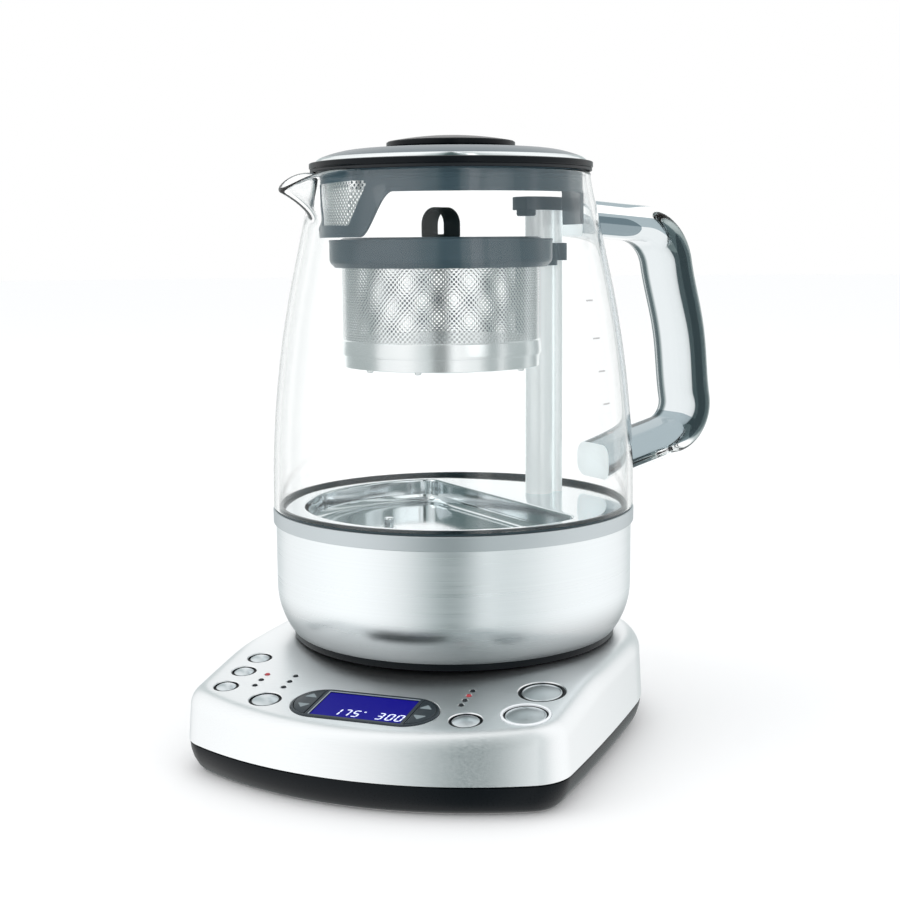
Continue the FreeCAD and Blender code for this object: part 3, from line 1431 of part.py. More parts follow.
def make_collar():
    """The plastic collar round the basket's mouth, notched for the post."""
    form = put(turned("collar_form", [
        ("basket_radius", "collar_bottom_z"), ("collar_radius - collar_chamfer", "collar_bottom_z"),
        ("collar_radius", "collar_bottom_z + collar_chamfer"), ("collar_radius", "collar_top_z - collar_edge"),
        ("collar_radius - collar_edge", "collar_top_z"), ("collar_inner", "collar_top_z"),
        ("collar_inner", "collar_bottom_z + collar_seat"), ("basket_radius", "collar_bottom_z + collar_seat")]),
        *BASKET)
    notch = line_block("collar_notch", "basket_along + basket_radius - rib_depth", "yoke_half",
                       "collar_bottom_z - over", "basket_radius", "collar_top_z - collar_bottom_z + 2 * over")
    return cut("basket_collar", form, notch)


def make_yoke():
    """The bracket behind the basket: a yoke round the post and a rib down the mesh."""
    low, tall = "rib_bottom_z - over", "collar_top_z - rib_bottom_z + 2 * over"
    tube_height = "collar_top_z - collar_bottom_z - yoke_step"
    rear_bottom, rear_height = "collar_bottom_z + yoke_rear_step", tube_height + " - yoke_rear_step"
    grip = line_block("yoke_grip", "basket_along + basket_radius - rib_depth", "yoke_half",
                      "collar_bottom_z",
                      "post_along - basket_along - basket_radius + rib_depth", tube_height)
    front = cylinder("yoke_front_tube", "post_radius + yoke_gap + yoke_wall", "collar_bottom_z", tube_height,
                     *on_handle_line("post_along"))
    web = line_block("yoke_web", "post_along", "yoke_web_half", rear_bottom,
                     "%s - post_along" % REAR_ALONG, rear_height)
    rear = cylinder("yoke_rear_tube", "rear_tube_radius + yoke_gap + yoke_wall", rear_bottom, rear_height,
                    *on_handle_line(REAR_ALONG))
    rib = line_block("yoke_rib", "basket_along + basket_radius - rib_depth", "rib_half", "rib_bottom_z",
                     "rib_outer - basket_along - basket_radius + rib_depth", "collar_bottom_z - rib_bottom_z")
    hollow = cylinder("yoke_hollow", "basket_radius", low, tall, *BASKET)
    mouth = cylinder("yoke_mouth", "collar_inner", "collar_bottom_z + collar_seat", tall, *BASKET)
    magnet_space = line_block("yoke_magnet_space", "rib_outer - magnet_thick", "magnet_half",
                              MAGNET_BOTTOM, "magnet_thick + over", "magnet_height")
    form = fused("yoke_block", [grip, front, web, rear, rib])
    return cut("basket_yoke", form, hollow, mouth, magnet_space, post_clearance("yoke_clearance", low, tall))


def make_magnet():
    """The magnet that follows the carriage, set in the rib's rear face."""
    return line_block("follower_magnet", "rib_outer - magnet_thick", "magnet_half", MAGNET_BOTTOM,
                      "magnet_thick", "magnet_height")


def make_basket_mesh():
    """The mesh wall and the mesh floor."""
    wall = put(ring("mesh_side", "basket_radius - mesh_wall", "basket_radius - touch_gap", "hoop_bottom_z",
                    "collar_bottom_z + collar_seat"), *BASKET)
    floor = cylinder("mesh_floor", "tray_radius - tray_round - fit_gap", "basket_bottom_z + tray_wall",
                     "mesh_wall", *BASKET)
    return group("basket_mesh", [wall, floor])


def make_hoop():
    """The steel band round the mesh's foot."""
    return put(ring("basket_hoop", "basket_radius", "basket_radius + hoop_wall", "hoop_bottom_z",
                    "hoop_top_z"), *BASKET)


def make_tray():
    """The basket's steel bottom: a shallow dish with an open middle for the floor mesh."""
    low, bend = "basket_bottom_z", "basket_bottom_z + tray_round"
    flange = "basket_radius + hoop_wall"
    return put(turned("basket_tray", [
        ("tray_radius - tray_lip", low), ("tray_radius - tray_round", low), ("tray_radius", bend),
        ("tray_radius", "hoop_bottom_z - tray_wall"), (flange, "hoop_bottom_z - tray_wall"),
        (flange, "hoop_bottom_z"), ("tray_radius - tray_wall", "hoop_bottom_z"),
        ("tray_radius - tray_wall", bend), ("tray_radius - tray_round", low + " + tray_wall"),
        ("tray_radius - tray_lip", low + " + tray_wall")],
        {1: "tray_round", 7: "tray_wall - tray_round"}), *BASKET)


LID_TOP = "(collar_top_z + basket_lid_proud)"


def make_basket_lid():
    """The basket's press-in lid: a plain plug in the collar's mouth."""
    return cylinder("basket_lid", "basket_lid_plug", LID_TOP + " - basket_lid_height", "basket_lid_height",
                    *BASKET)


def arch(name, inset, bottom, depth):
    """The loop's arch, inset by a margin: two upright sides and a half circle between them."""
    body = new_body(name)
    sketch = body_sketch(body, "XZ_Plane")
    half = "(loop_half_width - (%s))" % inset
    crown = LID_TOP + " + loop_height - loop_half_width"
    closed_outline(sketch, [("-" + half, bottom), (half, bottom), (half, crown), ("0", crown + " + " + half),
                            ("-" + half, crown)], {2: half, 3: half})
    pad = body.newObject("PartDesign::Pad", name + "_pad")
    pad.Profile = sketch
    pad.SideType = "Symmetric"
    bind(pad, "Length", depth)
    return body


def make_loop():
    """The finger loop on the basket's lid, a strap bent into an arch."""
    loop = cut("lid_loop_form", arch("loop_outer", "0", LID_TOP, "loop_depth"),
               arch("loop_finger_hole", "loop_bar", LID_TOP + " + loop_bar", "loop_depth + 2 * over"))
    x, y = BASKET
    return put(loop, x, y, "0", "loop_angle")


# ---------------------------------------------------------------- build, check and write

NODES = {
    "base_cover": make_cover(),
    "base_foot": make_foot(),
    "inner_frame": make_frame(),
    "base_screws": make_base_screws(),
    "rubber_feet": group("rubber_feet", cylinders_at(PADS, "rubber_foot", "pad_radius", "0", "pad_recess")),
    "cord_gland": make_gland(),
    "base_connector": make_connector(),
    "deck_ring": ring("deck_ring", "deck_ring_radius - deck_ring_width", "deck_ring_radius", "deck_z",
                      "deck_z + deck_ring_height"),
    "power_board": make_power_board(),
    "control_board": make_control_board(),
    "lcd_module": make_lcd(),
    "display_window": make_window(),
    "start_ring": make_start_ring(),
    "indicator_lamps": make_lamps(),
    "push_switches": make_switches(),
    "temperature_rocker": make_rocker("temperature_rocker", -1),
    "time_rocker": make_rocker("time_rocker", 1),
    "glass_jug": make_glass(),
    "glass_handle": make_handle(),
    "band_ring": make_band(),
    "glass_seal": ring("glass_seal", "glass_radius - seal_inset - seal_width", "glass_radius - seal_inset",
                       "band_top_z", "glass_bottom_z"),
    "steel_cup": make_cup(),
    "jug_bottom": make_jug_bottom(),
    "jug_socket": make_socket(),
    "floor_plate": make_floor(),
    "heating_element": make_element(),
    "temperature_sensor": make_sensor(),
    "lift_post": make_post(),
    "post_cap": make_post_cap(),
    "lead_screw": make_lead_screw(),
    "driven_gear": gear("driven_gear", "gear_teeth", "lead_radius", "post_along", "0"),
    "motor_pinion": make_pinion(),
    "lift_motor": make_motor(),
    "motor_bracket": make_bracket(),
    "screw_bearings": make_bearings(),
    "shaft_seal": make_shaft_seal(),
    "magnet_carriage": make_carriage(),
    "lid_gasket": make_gasket(),
    "lid_rim": make_lid_rim(),
    "lid_dome": make_dome(),
    "lid_knob": make_knob(),
    "lid_screws": make_lid_screws(),
    "lid_skirt": make_skirt(),
    "filter_frame": make_filter_frame(),
    "filter_mesh": make_filter_mesh(),
    "basket_collar": make_collar(),
    "basket_yoke": make_yoke(),
    "follower_magnet": make_magnet(),
    "basket_mesh": make_basket_mesh(),
    "basket_hoop": make_hoop(),
    "basket_tray": make_tray(),
    "basket_lid": make_basket_lid(),
    "lid_loop": make_loop(),
}
for button in BUTTONS:
    NODES[button[0]] = make_button(*button)

doc.recompute()
faults = [obj.Name for obj in doc.Objects if "Invalid" in obj.State or "Error" in obj.State]
for label, obj in NODES.items():
    obj.Label = label
    if obj.Shape.isNull() or not obj.Shape.isValid():
        faults.append(label + " shape")
if faults:
    raise RuntimeError("failed: " + ", ".join(faults))

os.makedirs("parts", exist_ok=True)
for label, obj in NODES.items():
    obj.Shape.exportStep("parts/%s.step" % label)
    box = obj.Shape.optimalBoundingBox()
    print("%-20s solids %2d volume %10.1f" % (label, len(obj.Shape.Solids), obj.Shape.Volume),
          " x %7.1f %7.1f  y %7.1f %7.1f" % (box.XMin, box.XMax, box.YMin, box.YMax),
          " z %6.1f %6.1f" % (box.ZMin, box.ZMax))
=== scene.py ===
"""Looks of an automatic tea maker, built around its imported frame.

The machine is a glass jug on a steel cup, with a lid and a tea basket that rides on a post, standing on a
power base with keys, lamps and a display. Lengths are in millimetres in the maker's frame: Z up, the jug's
axis at the origin, the controls towards -Y. They become metres when a mesh is made.
"""

import json
import logging
from collections.abc import Callable
from dataclasses import dataclass, field
from enum import Enum
from math import atan2, cos, hypot, pi, radians, sin, sqrt, tan

import bmesh
import bpy
import numpy as np
from bpy.types import ID, Material, Mesh, Node, NodeSocket, Object
from mathutils import Matrix, Vector

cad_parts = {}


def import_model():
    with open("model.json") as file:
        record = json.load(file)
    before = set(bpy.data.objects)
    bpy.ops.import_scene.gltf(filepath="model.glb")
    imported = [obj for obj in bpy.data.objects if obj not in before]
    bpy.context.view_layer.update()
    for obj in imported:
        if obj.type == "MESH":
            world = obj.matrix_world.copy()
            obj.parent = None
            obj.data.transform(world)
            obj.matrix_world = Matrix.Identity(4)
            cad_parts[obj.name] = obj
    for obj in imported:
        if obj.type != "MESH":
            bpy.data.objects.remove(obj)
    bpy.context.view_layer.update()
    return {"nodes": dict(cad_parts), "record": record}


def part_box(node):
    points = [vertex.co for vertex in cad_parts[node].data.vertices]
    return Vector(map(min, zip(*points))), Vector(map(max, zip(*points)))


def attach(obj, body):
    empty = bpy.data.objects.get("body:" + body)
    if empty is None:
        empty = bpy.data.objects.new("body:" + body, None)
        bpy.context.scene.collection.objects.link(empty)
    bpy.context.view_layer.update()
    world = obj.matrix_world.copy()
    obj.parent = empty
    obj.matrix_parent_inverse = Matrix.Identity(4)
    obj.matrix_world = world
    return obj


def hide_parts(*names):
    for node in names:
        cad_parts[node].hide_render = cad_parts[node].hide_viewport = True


LOG = logging.getLogger("tea_maker")
MM = 0.001
HANDLE_ANGLE = 50.0
SPOUT_ANGLE = 230.0
POST_ALONG = 47.5  # the lift post's wide tube, from the jug's axis towards the handle
CRISP = 32.0  # edges that bend more than this many degrees stay crisp
DOUBLED = 0.002  # points closer than this, mm, are one
FINE = 256  # steps round the jug's widest rings
SHEET = 0.4  # thickness of the perforated sheets, mm


class Body(str, Enum):
    """The moving bodies that pieces ride on."""

    BASE = "root"
    HOT_WATER = "hot_water_button"
    TEA = "tea_button"
    AUTO_START = "auto_start_button"
    KEEP_WARM = "keep_warm_button"
    BASKET_KEY = "basket_button"
    TEA_TYPE = "tea_type_button"
    STRENGTH = "strength_button"
    TEMPERATURE = "temperature_rocker"
    TIME = "time_rocker"
    JUG = "jug"
    LID = "lid"
    BASKET = "basket"
    BASKET_LID = "basket_lid"


class Slot(str, Enum):
    """The finishes, by the record's material slots."""

    BRUSHED_STEEL = "brushed_steel"
    CUP_STEEL = "cup_steel"
    DOME_STEEL = "dome_steel"
    BAND_GREY = "band_grey"
    CLEAR_GLASS = "clear_glass"
    BLACK_PLASTIC = "black_plastic"
    GREY_PLASTIC = "grey_plastic"
    INNER_PLASTIC = "inner_plastic"
    RUBBER = "rubber_black"
    SEAL = "seal_rubber"
    MESH_STEEL = "mesh_steel"
    FLOOR_STEEL = "floor_steel"
    KEY_SILVER = "key_silver"
    RING_WHITE = "ring_white"
    BEZEL = "bezel_charcoal"
    DISPLAY = "display_blue"
    LAMP = "lamp_lens"
    BOARD = "circuit_board"
    COPPER = "copper_element"
    BRASS = "brass"
    ZINC = "zinc_steel"
    NYLON = "nylon_white"
    MAGNET = "magnet_nickel"


# ---------------------------------------------------------------------------------------------- meshes


def box_mm(node: str) -> tuple[np.ndarray, np.ndarray]:
    """A frame node's lowest and highest corners in millimetres.

    Args:
        node: the node's name.

    Returns:
        The two corners.
    """
    low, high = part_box(node)
    return np.array(low) / MM, np.array(high) / MM


def in_scene(name: str, data: ID) -> Object:
    """Links a new object to the scene.

    Args:
        name: its name.
        data: its mesh, lamp or camera.

    Returns:
        The object.
    """
    piece = bpy.data.objects.new(name, data)
    bpy.context.scene.collection.objects.link(piece)
    return piece


def shaded(mesh: Mesh, sharp: float) -> Mesh:
    """Shades a mesh smooth, with crisp edges.

    Args:
        mesh: the mesh.
        sharp: edges that bend more than this many degrees are crisp.

    Returns:
        The mesh.
    """
    mesh.shade_smooth()
    mesh.set_sharp_from_angle(angle=radians(sharp))
    return mesh





def solid(name: str, points: np.ndarray, faces: list, sharp: float = CRISP) -> Object:
    """A new object: doubled points are joined, and the faces turned outwards.

    Args:
        name: the piece's name.
        points: an array of points in millimetres, one row each.
        faces: lists of point numbers.
        sharp: see shaded.

    Returns:
        The object, at the origin, in the scene.
    """
    mesh = bpy.data.meshes.new(name)
    mesh.from_pydata((np.asarray(points, float) * MM).tolist(), [], faces)
    work = bmesh.new()
    work.from_mesh(mesh)
    bmesh.ops.remove_doubles(work, verts=work.verts, dist=DOUBLED * MM)
    bmesh.ops.dissolve_degenerate(work, edges=work.edges, dist=DOUBLED / 4 * MM)
    bmesh.ops.recalc_face_normals(work, faces=work.faces)
    work.to_mesh(mesh)
    work.free()
    return in_scene(name, shaded(mesh, sharp))


def skin(name: str, grid: np.ndarray, wrap_u: bool = True, wrap_v: bool = True, caps: bool = False,
         sharp: float = CRISP) -> Object:
    """A surface through a grid of points: quads between neighbours in both directions.

    Args:
        name: the piece's name.
        grid: points, shaped (count along u, count along v, 3).
        wrap_u: whether the last row joins the first.
        wrap_v: whether the last column joins the first.
        caps: whether the first and last rows are closed by one face each.
        sharp: see shaded.

    Returns:
        The object.
    """
    rows, columns = grid.shape[:2]
    u, v = np.meshgrid(np.arange(rows - (not wrap_u)), np.arange(columns - (not wrap_v)), indexing="ij")
    u2, v2 = (u + 1) % rows, (v + 1) % columns
    quads = np.stack((u * columns + v, u2 * columns + v, u2 * columns + v2, u * columns + v2), -1)
    faces = quads.reshape(-1, 4).tolist()
    if caps:
        faces += [list(range(columns)), list(range((rows - 1) * columns, rows * columns))]
    return solid(name, grid.reshape(-1, 3), faces, sharp)


def polar(radius: np.ndarray, angle: np.ndarray, height: np.ndarray,
          centre: tuple = (0.0, 0.0)) -> np.ndarray:
    """Points round an upright axis: (cx + r cos a, cy + r sin a, z).

    Args:
        radius: distances from the axis.
        angle: angles in radians.
        height: heights, or one height for all.
        centre: where the axis stands, x and y.

    Returns:
        The points, with the arrays' shared shape and a last axis of three.
    """
    x, y = centre[0] + radius * np.cos(angle), centre[1] + radius * np.sin(angle)
    return np.stack((x, y, np.broadcast_to(height, x.shape)), -1)


def to_handle(grid: np.ndarray) -> np.ndarray:
    """Turns points to the handle's direction.

    Args:
        grid: points (along the handle's direction, across it, height).

    Returns:
        The points in the machine's frame.
    """
    turn = radians(HANDLE_ANGLE)
    x, y, z = grid[..., 0], grid[..., 1], grid[..., 2]
    return np.stack((x * cos(turn) - y * sin(turn), x * sin(turn) + y * cos(turn), z), -1)


def on_handle_line(along: float) -> tuple:
    """The place (x, y) that lies this far out on the line from the jug's axis to the handle."""
    return along * cos(radians(HANDLE_ANGLE)), along * sin(radians(HANDLE_ANGLE))


def lathe(name: str, profile: np.ndarray, centre: tuple = (0.0, 0.0), segments: int = 192,
          closed: bool = True) -> Object:
    """A body of revolution: each profile point (r, z) runs round the axis.

    Args:
        name: the piece's name.
        profile: points (radius, height); a closed outline, or an open one with both ends on the axis.
        centre: where the upright axis stands, x and y.
        segments: how many steps a turn has.
        closed: whether the profile's last point joins its first.

    Returns:
        The object.
    """
    return skin(name, turned(profile, centre, segments), True, closed)


def turned(profile: np.ndarray, centre: tuple = (0.0, 0.0), segments: int = 192) -> np.ndarray:
    """The grid of a body of revolution.

    Args:
        profile: points (radius, height).
        centre: where the upright axis stands, x and y.
        segments: how many steps a turn has.

    Returns:
        The grid, one row for each step.
    """
    angle = np.linspace(0, 2 * pi, segments, endpoint=False)[:, None]
    radius, height = np.asarray(profile, float).T
    return polar(radius, angle, height, centre)


def arc(centre: tuple, radius: float, start: float, end: float, count: int) -> np.ndarray:
    """Points on an arc: centre + radius (cos a, sin a), with a running evenly from start to end.

    Args:
        centre: the arc's centre.
        radius: its radius.
        start: the first point's angle, degrees.
        end: the last point's angle, degrees.
        count: how many points.

    Returns:
        The points.
    """
    angle = np.radians(np.linspace(start, end, count))
    return np.column_stack((centre[0] + radius * np.cos(angle), centre[1] + radius * np.sin(angle)))


def rounded(corners: list, steps: int = 6) -> np.ndarray:
    """A closed outline with its corners rounded.

    An arc of radius r touches both sides of a corner r / tan(half its angle) away from it. Its centre lies on
    the corner's bisector, r / sin(half its angle) away, and its points turn evenly between the two sides.

    Args:
        corners: (x, y, radius) in order.
        steps: how many points each arc has.

    Returns:
        The outline's points.
    """
    flat = np.array([corner[:2] for corner in corners], float)
    runs = []
    for here, before, after, corner in zip(flat, np.roll(flat, 1, 0), np.roll(flat, -1, 0), corners):
        radius = corner[2]
        if radius <= 0:
            runs.append(here[None])
            continue
        back = (before - here) / np.linalg.norm(before - here)
        ahead = (after - here) / np.linalg.norm(after - here)
        half = 0.5 * np.arccos(np.clip(back @ ahead, -1, 1))
        middle = here + (back + ahead) / np.linalg.norm(back + ahead) * radius / sin(half)
        first = here + back * radius / tan(half) - middle
        last = here + ahead * radius / tan(half) - middle
        turn = atan2(first[0] * last[1] - first[1] * last[0], first @ last)
        angle = np.linspace(0, turn, steps)[:, None]
        runs.append(middle + first * np.cos(angle) + np.array((-first[1], first[0])) * np.sin(angle))
    return np.vstack(runs)


def rectangle(left: float, right: float, low: float, high: float, *rounds: float,
              steps: int = 6) -> np.ndarray:
    """An upright rectangle's outline, from the lower left corner round to the upper left one.

    Args:
        left: where it starts across, or its inner radius.
        right: where it ends across, or its outer radius.
        low: its lower end.
        high: its upper end.
        rounds: each corner's radius in that order, or one for all, or none for sharp corners.
        steps: how many points each arc has.

    Returns:
        The outline's points.
    """
    corners = ((left, low), (right, low), (right, high), (left, high))
    radii = rounds if len(rounds) == 4 else (rounds or (0,)) * 4
    return rounded([(*corner, radius) for corner, radius in zip(corners, radii)], steps)


def shrunk(outline: np.ndarray, inset: float) -> np.ndarray:
    """A closed outline moved inwards: each point goes along its inward normal by inset / cos(half its bend).

    Args:
        outline: points in order, either way round.
        inset: how far inwards, or outwards where negative.

    Returns:
        The moved points.
    """
    side = np.roll(outline, -1, 0) - outline
    area = np.sum(outline[:, 0] * np.roll(outline[:, 1], -1) - outline[:, 1] * np.roll(outline[:, 0], -1))
    length = np.maximum(np.linalg.norm(side, axis=1, keepdims=True), 1e-9)
    normal = np.column_stack((-side[:, 1], side[:, 0])) / length * np.sign(area)
    both = normal + np.roll(normal, 1, 0)
    both /= np.maximum(np.linalg.norm(both, axis=1, keepdims=True), 1e-9)
    share = np.maximum(np.sum(both * normal, 1, keepdims=True), 0.5)
    return outline + both * inset / share


def levelled(rings: list) -> np.ndarray:
    """A grid of outlines, each at its own height.

    Args:
        rings: (outline, height) from one end to the other.

    Returns:
        The grid, one row for each outline.
    """
    return np.stack([np.column_stack((ring, np.full(len(ring), height))) for ring, height in rings])


def stacked(outline: np.ndarray, levels: list) -> np.ndarray:
    """Copies of an outline one above another.

    Args:
        outline: the plan's points.
        levels: (inset, height): how far a copy is shrunk, and where it lies.

    Returns:
        The grid, one row for each level.
    """
    return levelled([(shrunk(outline, inset), height) for inset, height in levels])


def edge_levels(low: float, high: float, top_round: float, low_round: float = 0.0, steps: int = 5) -> list:
    """Levels of an upright wall with quarter-round edges: inset r(1 - sin a) at height top - r(1 - cos a).

    Args:
        low: the wall's lower end.
        high: its upper end.
        top_round: radius of the upper edge.
        low_round: radius of the lower edge.
        steps: how many levels an edge has.

    Returns:
        The levels, (inset, height).
    """
    quarter = np.linspace(0, pi / 2, steps)
    under = [(low_round * (1 - sin(a)), low + low_round * (1 - cos(a))) for a in quarter] if low_round else []
    over = [(top_round * (1 - cos(a)), high - top_round * (1 - sin(a))) for a in quarter] if top_round else []
    return (under or [(0.0, low)]) + (over or [(0.0, high)])


def slab(name: str, outline: np.ndarray, levels: list, place: Callable | None = None) -> Object:
    """A closed plate: an outline stacked through its levels, with a face at each end.

    Args:
        name: the piece's name.
        outline: the plan's points.
        levels: (inset, height) from one end to the other.
        place: a function that takes local points to the machine's frame, or None.

    Returns:
        The object.
    """
    grid = stacked(outline, levels)
    return skin(name, place(grid) if place else grid, False, True, caps=True)


def joined(name: str, pieces: list) -> Object:
    """One object from several: their points and faces one after another.

    Args:
        name: the new piece's name.
        pieces: objects, which are removed.

    Returns:
        The object.
    """
    work = bmesh.new()
    for piece in pieces:
        work.from_mesh(piece.data)
        bpy.data.objects.remove(piece)
    mesh = bpy.data.meshes.new(name)
    work.to_mesh(mesh)
    work.free()
    return in_scene(name, shaded(mesh, CRISP))


def modified(piece: Object, kind: str, sharp: float, **settings: object) -> Object:
    """Puts one modifier on an object, takes it into the mesh and shades it again.

    Args:
        piece: the object.
        kind: the modifier's kind.
        sharp: see shaded.
        settings: the modifier's settings by name.

    Returns:
        The object.
    """
    step = piece.modifiers.new(kind, kind)
    for name, value in settings.items():
        setattr(step, name, value)
    mesh = bpy.data.meshes.new_from_object(piece.evaluated_get(bpy.context.evaluated_depsgraph_get()))
    piece.modifiers.clear()
    piece.data = shaded(mesh, sharp)
    return piece


def carved(piece: Object, cutters: list, sharp: float = CRISP) -> Object:
    """Cuts the cutters out of a piece and removes them.

    Args:
        piece: a closed mesh.
        cutters: closed meshes.
        sharp: see shaded.

    Returns:
        The piece.
    """
    cutter = joined(piece.name + "_cutter", cutters)
    modified(piece, "BOOLEAN", sharp, operation="DIFFERENCE", solver="EXACT", use_self=False, object=cutter)
    bpy.data.objects.remove(cutter)
    return piece





def from_frame(name: str, node: Object, width: float) -> Object:
    """A finished copy of a frame node: its triangles merged, flat faces joined up and hard edges rounded.

    Args:
        name: the new piece's name.
        node: the frame's node.
        width: the edges' rounding, mm.

    Returns:
        The object.
    """
    mesh = node.data.copy()
    mesh.name = name
    mesh.materials.clear()
    work = bmesh.new()
    work.from_mesh(mesh)
    bmesh.ops.remove_doubles(work, verts=work.verts, dist=DOUBLED * MM)
    bmesh.ops.dissolve_limit(work, angle_limit=radians(1.0), verts=work.verts, edges=work.edges)
    work.to_mesh(mesh)
    work.free()
    return modified(in_scene(name, mesh), "BEVEL", 40.0, width=width * MM, segments=2, limit_method="ANGLE",
                    angle_limit=radians(30.0), use_clamp_overlap=True, harden_normals=False)


# ---------------------------------------------------------------------------------------------- finishes


class Graph:
    """The nodes of a material or a world, filled by short calls."""

    def __init__(self, owner: ID) -> None:
        """Switches on the owner's nodes."""
        owner.use_nodes = True
        self.nodes, self.links = owner.node_tree.nodes, owner.node_tree.links

    def feed(self, node: Node, inputs: dict) -> None:
        """Fills a node's inputs: a socket is linked, anything else becomes the input's own value.

        Args:
            node: the node.
            inputs: what each input gets, by name or number.
        """
        for name, value in inputs.items():
            if isinstance(value, NodeSocket):
                self.links.new(value, node.inputs[name])
            else:
                node.inputs[name].default_value = value

    def add(self, kind: str, inputs: dict | None = None, **settings: str) -> Node:
        """A new node.

        Args:
            kind: its type, without ShaderNode in front.
            inputs: what its inputs get, as in feed.
            settings: its own settings by name.

        Returns:
            The node.
        """
        node = self.nodes.new("ShaderNode" + kind)
        for name, value in settings.items():
            setattr(node, name, value)
        self.feed(node, inputs or {})
        return node


@dataclass(frozen=True)
class Grain:
    """Fine marks of a surface, from noise on object coordinates.

    Attributes:
        scale: marks per metre along x, y and z; small numbers make long streaks.
        colour: how far the marks lighten and darken the colour.
        roughness: how far they change the roughness.
        bump: strength of the relief.
        depth: height of the relief, mm.
        detail: octaves of the noise.
    """

    scale: tuple = (900.0, 900.0, 900.0)
    colour: float = 0.04
    roughness: float = 0.06
    bump: float = 0.15
    depth: float = 0.05
    detail: float = 3.0


@dataclass(frozen=True)
class Finish:
    """A surface: colour, gloss and grain.

    Attributes:
        colour: base colour, linear.
        roughness: 0 is a mirror, 1 is matt.
        metallic: 1 for bare metal.
        transmission: 1 for clear glass.
        ior: index of refraction.
        specular: how much a plain surface mirrors, 0.5 for most plastics.
        coat: a clear gloss layer over the colour.
        anisotropic: how far brushing stretches reflections.
        glow: strength of the light given off in the same colour: the display's and the lit lamps' own light, and
            painted light on parts that are no lamps.
        painted_shade: painted shade, a height and a lower one, mm, between which the colour darkens, and the
            share left; or empty.
        grain: the fine marks.
    """

    colour: tuple
    roughness: float = 0.4
    metallic: float = 0.0
    transmission: float = 0.0
    ior: float = 1.47
    specular: float = 0.5
    coat: float = 0.0
    anisotropic: float = 0.0
    glow: float = 0.0
    painted_shade: tuple = ()
    grain: Grain = field(default_factory=Grain)

    def material(self, name: str) -> Material:
        """The finish as a Blender material.

        Args:
            name: the material's name.

        Returns:
            The material.
        """
        material = bpy.data.materials.new(name)
        graph, grain = Graph(material), self.grain
        shader = graph.nodes["Principled BSDF"]
        graph.feed(shader, {
            "Base Color": (*self.colour, 1.0), "Roughness": self.roughness, "Metallic": self.metallic,
            "Transmission Weight": self.transmission, "IOR": self.ior, "Specular IOR Level": self.specular,
            "Coat Weight": self.coat, "Coat Roughness": 0.08, "Anisotropic": self.anisotropic,
            "Emission Color": (*self.colour, 1.0), "Emission Strength": self.glow})
        if not (grain.bump or grain.colour or grain.roughness):
            return material
        place = graph.add("TexCoord").outputs["Object"]
        stretch = graph.add("Mapping", {"Vector": place, "Scale": grain.scale}).outputs["Vector"]
        noise = graph.add("TexNoise", {"Vector": stretch, "Scale": 1.0, "Detail": grain.detail})
        marks = noise.outputs["Fac"]
        if grain.colour:
            dark, light = ((*[min(1.0, c * (1 + way * grain.colour)) for c in self.colour], 1.0)
                           for way in (-1, 1))
            mix = graph.add("Mix", {"Factor": marks, "A": dark, "B": light}, data_type="RGBA")
            tint = mix.outputs["Result"]
            graph.feed(shader, {"Base Color": self.with_painted_shade(graph, place, tint) if self.painted_shade else tint})
        if grain.roughness:
            spread = graph.add("MapRange", {
                "Value": marks, "From Min": 0.3, "From Max": 0.7,
                "To Min": max(0.0, self.roughness - grain.roughness),
                "To Max": min(1.0, self.roughness + grain.roughness)})
            graph.feed(shader, {"Roughness": spread.outputs["Result"]})
        if grain.bump:
            relief = graph.add("Bump", {"Height": marks, "Strength": grain.bump,
                                        "Distance": grain.depth * MM})
            graph.feed(shader, {"Normal": relief.outputs["Normal"]})
        return material

    def with_painted_shade(self, graph: Graph, place: NodeSocket, tint: NodeSocket) -> NodeSocket:
        """Paints shade: multiplies a colour by a share that falls smoothly with the height on the object.

        Args:
            graph: the material's nodes.
            place: the place on the object.
            tint: the colour.

        Returns:
            The darker colour.
        """
        high, low, share = self.painted_shade
        height = graph.add("SeparateXYZ", {"Vector": place}).outputs["Z"]
        level = graph.add("MapRange", {"Value": height, "From Min": low * MM, "From Max": high * MM,
                                       "To Min": share, "To Max": 1.0}, interpolation_type="SMOOTHSTEP")
        shade = graph.add("VectorMath", {"Vector": tint, "Scale": level.outputs["Result"]}, operation="SCALE")
        return shade.outputs["Vector"]


BRUSHED_ALONG_X = Grain((14.0, 2400.0, 2400.0), 0.05, 0.05, 0.10, 0.02, 3.0)
BRUSHED_ROUND = Grain((7.0, 7.0, 2800.0), 0.05, 0.04, 0.10, 0.02, 3.0)
SATIN = Grain((1500.0, 1500.0, 1500.0), 0.02, 0.02, 0.0, 0.0, 2.0)
MOULDED = Grain((2400.0, 2400.0, 2400.0), 0.04, 0.04, 0.10, 0.02, 2.0)
BARE = Grain(colour=0.0, roughness=0.0, bump=0.0)

